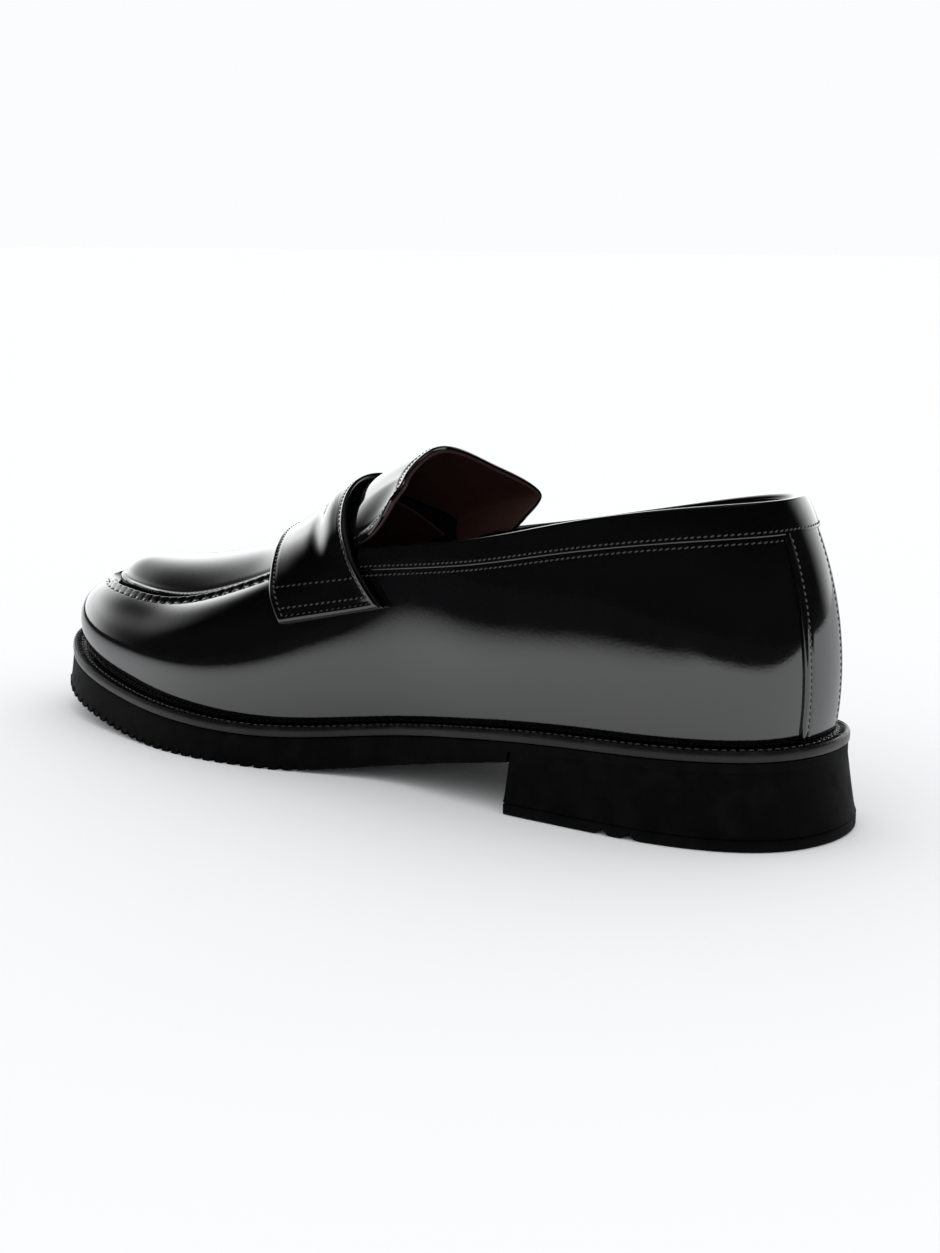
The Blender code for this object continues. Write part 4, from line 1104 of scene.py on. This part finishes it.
def makeSock():
    # Cross rows over the insole. The edge turns up a little against the lining.
    share = (1 - np.cos(math.pi * np.linspace(0, 1, 260))) / 2
    y, left, right = chordEnds(share, sock["inset"])
    columns = edgeSpread(40, 1.6)
    x = left[:, None] + columns * (right - left)[:, None]
    edge = np.minimum(columns, 1 - columns) * (right - left)[:, None]
    top = sockTop(y)[:, None] + sock["turnUp"] * (1 - roundedEdge(edge, sock["turnWidth"]))
    y = y[:, None] + 0 * x
    upper = np.stack([x, y, top], -1)
    lower = np.stack([x, y, top - sock["thickness"]], -1)
    piece = loft("sockLining", sheetProfile(lower, upper), materials["sockLeather"])
    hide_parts("sock_lining")


makeSideWall()
makeApron()
makeCollar()
makeBackStrip()
makeLinings()
makePadding()
makePuff()
tongueTop, tongueUnder, flapGrid, flapNormals = makeTongue()
strapFar = makeStrap()
makeWelt()
makeOutsole()
makeHeel()
makeSock()
print("upper and sole made")


# Each thread is its pitch, the length of a stitch and the thread's radius.
sewing = {"fine": (1.9, 1.6, 0.23), "strong": (2.1, 1.75, 0.26), "seam": (4.6, 1.8, 0.26),
          "sole": (2.6, 2.2, 0.3), "slant": 0.3, "collarRows": ((-1.15, 1.0), (1.15, 0.0)),
          "strapEnds": (2.3, 5.0, 12.5), "weltInset": 3.3, "weltSink": 0.55}


def wallLine(u, v, out):
    point, normal, _ = wallFrame(u, v)
    return point + np.asarray(out)[..., None] * normal, normal


def sewCollar():
    ends = [placeAtTopY(collar["throat"] - 4, side) for side in (-1, 1)]
    u = np.linspace(*ends, 900)
    speed = topSpeed(u)
    pitch, length, radius = sewing["fine"]
    rows = []
    for down, out in sewing["collarRows"]:
        path, normal = wallLine(u, collar["seamV"] - down / speed, out + 0 * u)
        rows.append(stitches(path, normal, pitch, length, radius, slant=sewing["slant"]))
    addStitching("collarStitching", rows, thread)


def sewBackStrip():
    v = np.linspace(0.02, collar["seamV"] - 0.015, 300)
    pitch, length, radius = sewing["fine"]
    rows = []
    for side in (-1, 1):
        u = side * (backStrip["halfWidth"] - backStrip["seam"]) / ringKnots[-1] + 0 * v
        path, normal = wallLine(u, v, backStrip["outer"] - backStrip["dent"] + 0 * v)
        slant = sewing["slant"] * side
        rows.append(stitches(path, normal, pitch, length, radius, slant))
    addStitching("backStripStitching", rows, thread)


def sewApron():
    ends = [placeAtTopY(-30, side) % 1.0 for side in (-1, 1)]
    u = np.linspace(ends[1], ends[0], 900)
    speed = topSpeed(u)
    pitch, length, radius = sewing["seam"]
    path, normal = wallLine(u, 1 - sideWall["pitPlace"] / speed, -0.1 + 0 * u)
    rows = [stitches(path, normal, pitch, length, radius, slant=0.1, sink=0.5)]
    addStitching("apronStitching", rows, thread)


def sewTongue():
    # One row that runs up one side, across beside the free edge, and down the other.
    rowCount, columns = flapGrid.shape[:2]
    width = np.linalg.norm(np.diff(flapGrid, axis=1), axis=-1).sum(1)[-1]
    length = np.linalg.norm(flapGrid[-1, columns // 2] - flapGrid[0, columns // 2])
    column = int(round(tongue["seam"] / width * (columns - 1)))
    row = rowCount - 1 - int(round(tongue["seam"] / length * (rowCount - 1)))
    across = np.arange(column, columns - column)
    up = np.arange(6, row)
    i = np.concatenate([up, row + 0 * across, up[::-1]])
    j = np.concatenate([column + 0 * up, across, columns - 1 - column + 0 * up])
    normal = flapNormals[i, j]
    path = flapGrid[i, j] - 0.15 * normal
    rows = [stitches(path, normal, *sewing["fine"], sewing["slant"])]
    return addStitching("tongueStitching", rows, thread, body="")


def sewStrap():
    pitch, length, radius = sewing["strong"]
    lift = strap["lift"] + strap["backing"] + last["gap"] + strap["leather"] - 0.16
    rows = []

    def sew(a, share, slant):
        grid = strapSurface(strapFar, a[None], share[None], lift + 0 * a[None])[0]
        near = strapSurface(strapFar, a[None], share[None] + 0.02, lift + 0 * a[None])[0]
        side = strapSurface(strapFar, a[None] + 0.004, share[None], lift + 0 * a[None])[0]
        normal = unit(np.cross(side - grid, near - grid))
        rows.append(stitches(grid, normal, pitch, length, radius, slant))

    a = np.linspace(-0.975, 0.975, 700)
    inset = strap["seam"] / strapWidth(a)
    sew(a, inset, sewing["slant"])
    sew(a, 1 - inset, -sewing["slant"])
    share = np.linspace(0.085, 0.915, 260)
    for side in (-1, 1):
        for up in sewing["strapEnds"]:
            sewColumn(rows, side * (1 - up / strap["run"]), share, lift)
    addStitching("strapStitching", rows, thread)


def sewColumn(rows, a, share, lift):
    # A row down the strap's width: the surface is read at one a and many shares.
    one = np.array([[a - 0.004, a, a + 0.004]])
    grid = strapSurface(strapFar, one + 0 * share[:, None], share[:, None] + 0 * one,
                        lift + 0 * share[:, None] * one)
    normal = unit(np.cross(grid[:, 2] - grid[:, 0], np.gradient(grid[:, 1], axis=0)))
    rows.append(stitches(grid[:, 1], normal, *sewing["strong"], sewing["slant"]))


def sewWelt():
    u = np.linspace(0, 1, 3000)
    table, outward = lastAt(u)
    path = np.column_stack([table[:, :2] - sewing["weltInset"] * outward,
                            weltTop(table[:, 1]) - sewing["weltSink"]])
    normal = np.tile((0.0, 0.0, 1.0), (len(path), 1))
    rows = [stitches(path, normal, *sewing["sole"])]
    addStitching("weltStitching", rows, thread)


sewCollar()
sewBackStrip()
sewApron()
sewStrap()
sewWelt()
tongueThread = sewTongue()
for piece, slotName in ((tongueTop, "polished_leather"), (tongueUnder, "lining_leather"),
                        (tongueThread, "polished_leather")):
    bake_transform(piece)
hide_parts("tongue")
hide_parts("tongue_lining")
print("stitching sewn")

# The pieces that stay as the frame has them, and their finishes.
keptFinish = {"cork_filler": "groundCork", "insole_board": "fibreBoard",
              "heel_counter": "fibreBoard", "shank": "springSteel", "heel_cushion": "latexFoam"}
keptFinish.update({f"heel_nail_{k}": "springSteel" for k in range(1, 6)})
for node, finishName in keptFinish.items():
    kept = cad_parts[node]
    kept.data.materials.clear()
    kept.data.materials.append(materials[finishName])

studio = {"paper": (0.90, 0.905, 0.91), "cloth": (0.02, 0.02, 0.022), "size": 60.0,
          "frontEnd": (0.40, 0.62), "sideEnd": (0.15, 0.46), "sideTurn": -76.0,
          "white": 2.6, "dark": 0.012, "turn": (0.28, 0.8), "overhead": 0.1,
          "overheadFrom": (0.7, 0.92), "wallTop": (0.26, 0.56), "seen": 0.985,
          "soft": 1.07, "tint": (0.985, 0.99, 1.0)}
camera = {"place": (np.array((516, 427.1, 170.4)) + shift) * mm,
          "target": (np.array((-27.08, 2.64, 40)) + shift) * mm, "roll": 0.5, "lens": 58.4}


def wayToCamera():
    way = camera["place"] - camera["target"]
    way[2] = 0
    return unit(way)


def paperMaterial():
    made = bpy.data.materials.new("studioPaper")
    made.use_nodes = True
    shader = made.node_tree.nodes["Principled BSDF"]
    shader.inputs["Base Color"].default_value = (*studio["paper"], 1)
    shader.inputs["Roughness"].default_value = 0.9
    shader.inputs["Specular IOR Level"].default_value = 0.0
    return made


def flagMaterial():
    # Black cloth that thins out to nothing near the shoe. It starts on the camera's side,
    # and nearer the shoe on the side that lies a turn to the camera's left.
    made = bpy.data.materials.new("studioFlag")
    made.use_nodes = True
    tree = made.node_tree
    shader = tree.nodes["Principled BSDF"]
    shader.inputs["Base Color"].default_value = (*studio["cloth"], 1)
    shader.inputs["Roughness"].default_value = 1.0
    shader.inputs["Specular IOR Level"].default_value = 0.0
    place = addNode(tree, "ShaderNodeTexCoord")
    front = wayToCamera()
    angle = math.radians(studio["sideTurn"])
    side = (front[0] * math.cos(angle) - front[1] * math.sin(angle),
            front[0] * math.sin(angle) + front[1] * math.cos(angle), 0.0)
    starts = []
    for way, reach in ((tuple(front), studio["frontEnd"]), (side, studio["sideEnd"])):
        toward = addNode(tree, "ShaderNodeVectorMath", operation="DOT_PRODUCT")
        toward.inputs[1].default_value = way
        tree.links.new(place.outputs["Object"], toward.inputs[0])
        start = addNode(tree, "ShaderNodeMapRange", {"From Min": reach[0],
                        "From Max": reach[1]}, interpolation_type="SMOOTHSTEP")
        tree.links.new(toward.outputs["Value"], start.inputs["Value"])
        starts.append(start.outputs["Result"])
    both = addNode(tree, "ShaderNodeMath", operation="MAXIMUM")
    tree.links.new(starts[0], both.inputs[0])
    tree.links.new(starts[1], both.inputs[1])
    tree.links.new(both.outputs[0], shader.inputs["Alpha"])
    return made


def stagePlane(name, size, height, material):
    half = size / 2
    corners = [(-half, -half, height), (half, -half, height), (half, half, height),
               (-half, half, height)]
    mesh = bpy.data.meshes.new(name)
    mesh.from_pydata(corners, [], [(0, 1, 2, 3)])
    mesh.materials.append(material)
    plane = bpy.data.objects.new(name, mesh)
    bpy.context.scene.collection.objects.link(plane)
    return plane


def makeFloor():
    # The floor, and a black flag over it that only polished surfaces reflect.
    stagePlane("studioFloor", studio["size"], 0.0, paperMaterial())
    flag = stagePlane("studioFlag", studio["size"], 0.0004, flagMaterial())
    flag.visible_camera = flag.visible_diffuse = flag.visible_shadow = False


def makeWorld():
    # A low white wall behind the shoe in a dark room, with a dim box overhead: the wall's
    # brightness follows how far a direction points away from the camera's side, and fades
    # above the wall's top. Matt surfaces get the room's mean light from every side.
    world = bpy.data.worlds.new("studioRoom")
    bpy.context.scene.world = world
    world.use_nodes = True
    tree = world.node_tree
    link = tree.links.new
    back = tree.nodes["Background"]
    place = addNode(tree, "ShaderNodeTexCoord")
    facing = addNode(tree, "ShaderNodeVectorMath", operation="DOT_PRODUCT")
    facing.inputs[1].default_value = tuple(-wayToCamera())
    link(place.outputs["Generated"], facing.inputs[0])
    side = addNode(tree, "ShaderNodeMapRange", {
        "From Min": studio["turn"][0], "From Max": studio["turn"][1],
        "To Min": studio["dark"], "To Max": studio["white"]}, interpolation_type="SMOOTHSTEP")
    link(facing.outputs["Value"], side.inputs["Value"])
    split = addNode(tree, "ShaderNodeSeparateXYZ")
    link(place.outputs["Generated"], split.inputs[0])
    above = addNode(tree, "ShaderNodeMapRange", {
        "From Min": studio["overheadFrom"][0], "From Max": studio["overheadFrom"][1],
        "To Min": 0.0, "To Max": studio["overhead"]}, interpolation_type="SMOOTHSTEP")
    link(split.outputs["Z"], above.inputs["Value"])
    wall = addNode(tree, "ShaderNodeMapRange", {
        "From Min": studio["wallTop"][0], "From Max": studio["wallTop"][1],
        "To Min": 1.0, "To Max": 0.0}, interpolation_type="SMOOTHSTEP")
    link(split.outputs["Z"], wall.inputs["Value"])
    lit = addNode(tree, "ShaderNodeMath", operation="MULTIPLY")
    link(side.outputs["Result"], lit.inputs[0])
    link(wall.outputs["Result"], lit.inputs[1])
    brighter = addNode(tree, "ShaderNodeMath", operation="MAXIMUM")
    link(lit.outputs[0], brighter.inputs[0])
    link(above.outputs["Result"], brighter.inputs[1])
    path = addNode(tree, "ShaderNodeLightPath")
    seen = addNode(tree, "ShaderNodeMix", data_type="FLOAT")
    link(path.outputs["Is Camera Ray"], seen.inputs[0])
    link(brighter.outputs[0], seen.inputs[2])
    seen.inputs[3].default_value = studio["seen"]
    softly = addNode(tree, "ShaderNodeMix", data_type="FLOAT")
    link(path.outputs["Is Diffuse Ray"], softly.inputs[0])
    link(seen.outputs[0], softly.inputs[2])
    softly.inputs[3].default_value = studio["soft"]
    link(softly.outputs[0], back.inputs["Strength"])
    back.inputs["Color"].default_value = (*studio["tint"], 1)


def makeCamera():
    data = bpy.data.cameras.new("studioCamera")
    data.sensor_width, data.lens = 36.0, camera["lens"]
    data.clip_start, data.clip_end = 0.01, 50
    made = bpy.data.objects.new("studioCamera", data)
    forward = (Vector(camera["target"]) - Vector(camera["place"])).normalized()
    turn = forward.to_track_quat("-Z", "Y")
    roll = Matrix.Rotation(math.radians(camera["roll"]), 4, "Z").to_quaternion()
    made.rotation_mode = "QUATERNION"
    made.rotation_quaternion = turn @ roll
    made.location = camera["place"]
    bpy.context.scene.collection.objects.link(made)
    bpy.context.scene.camera = made


makeFloor()
makeWorld()
makeCamera()
bpy.context.scene.view_settings.view_transform = "Standard"
print("studio set")
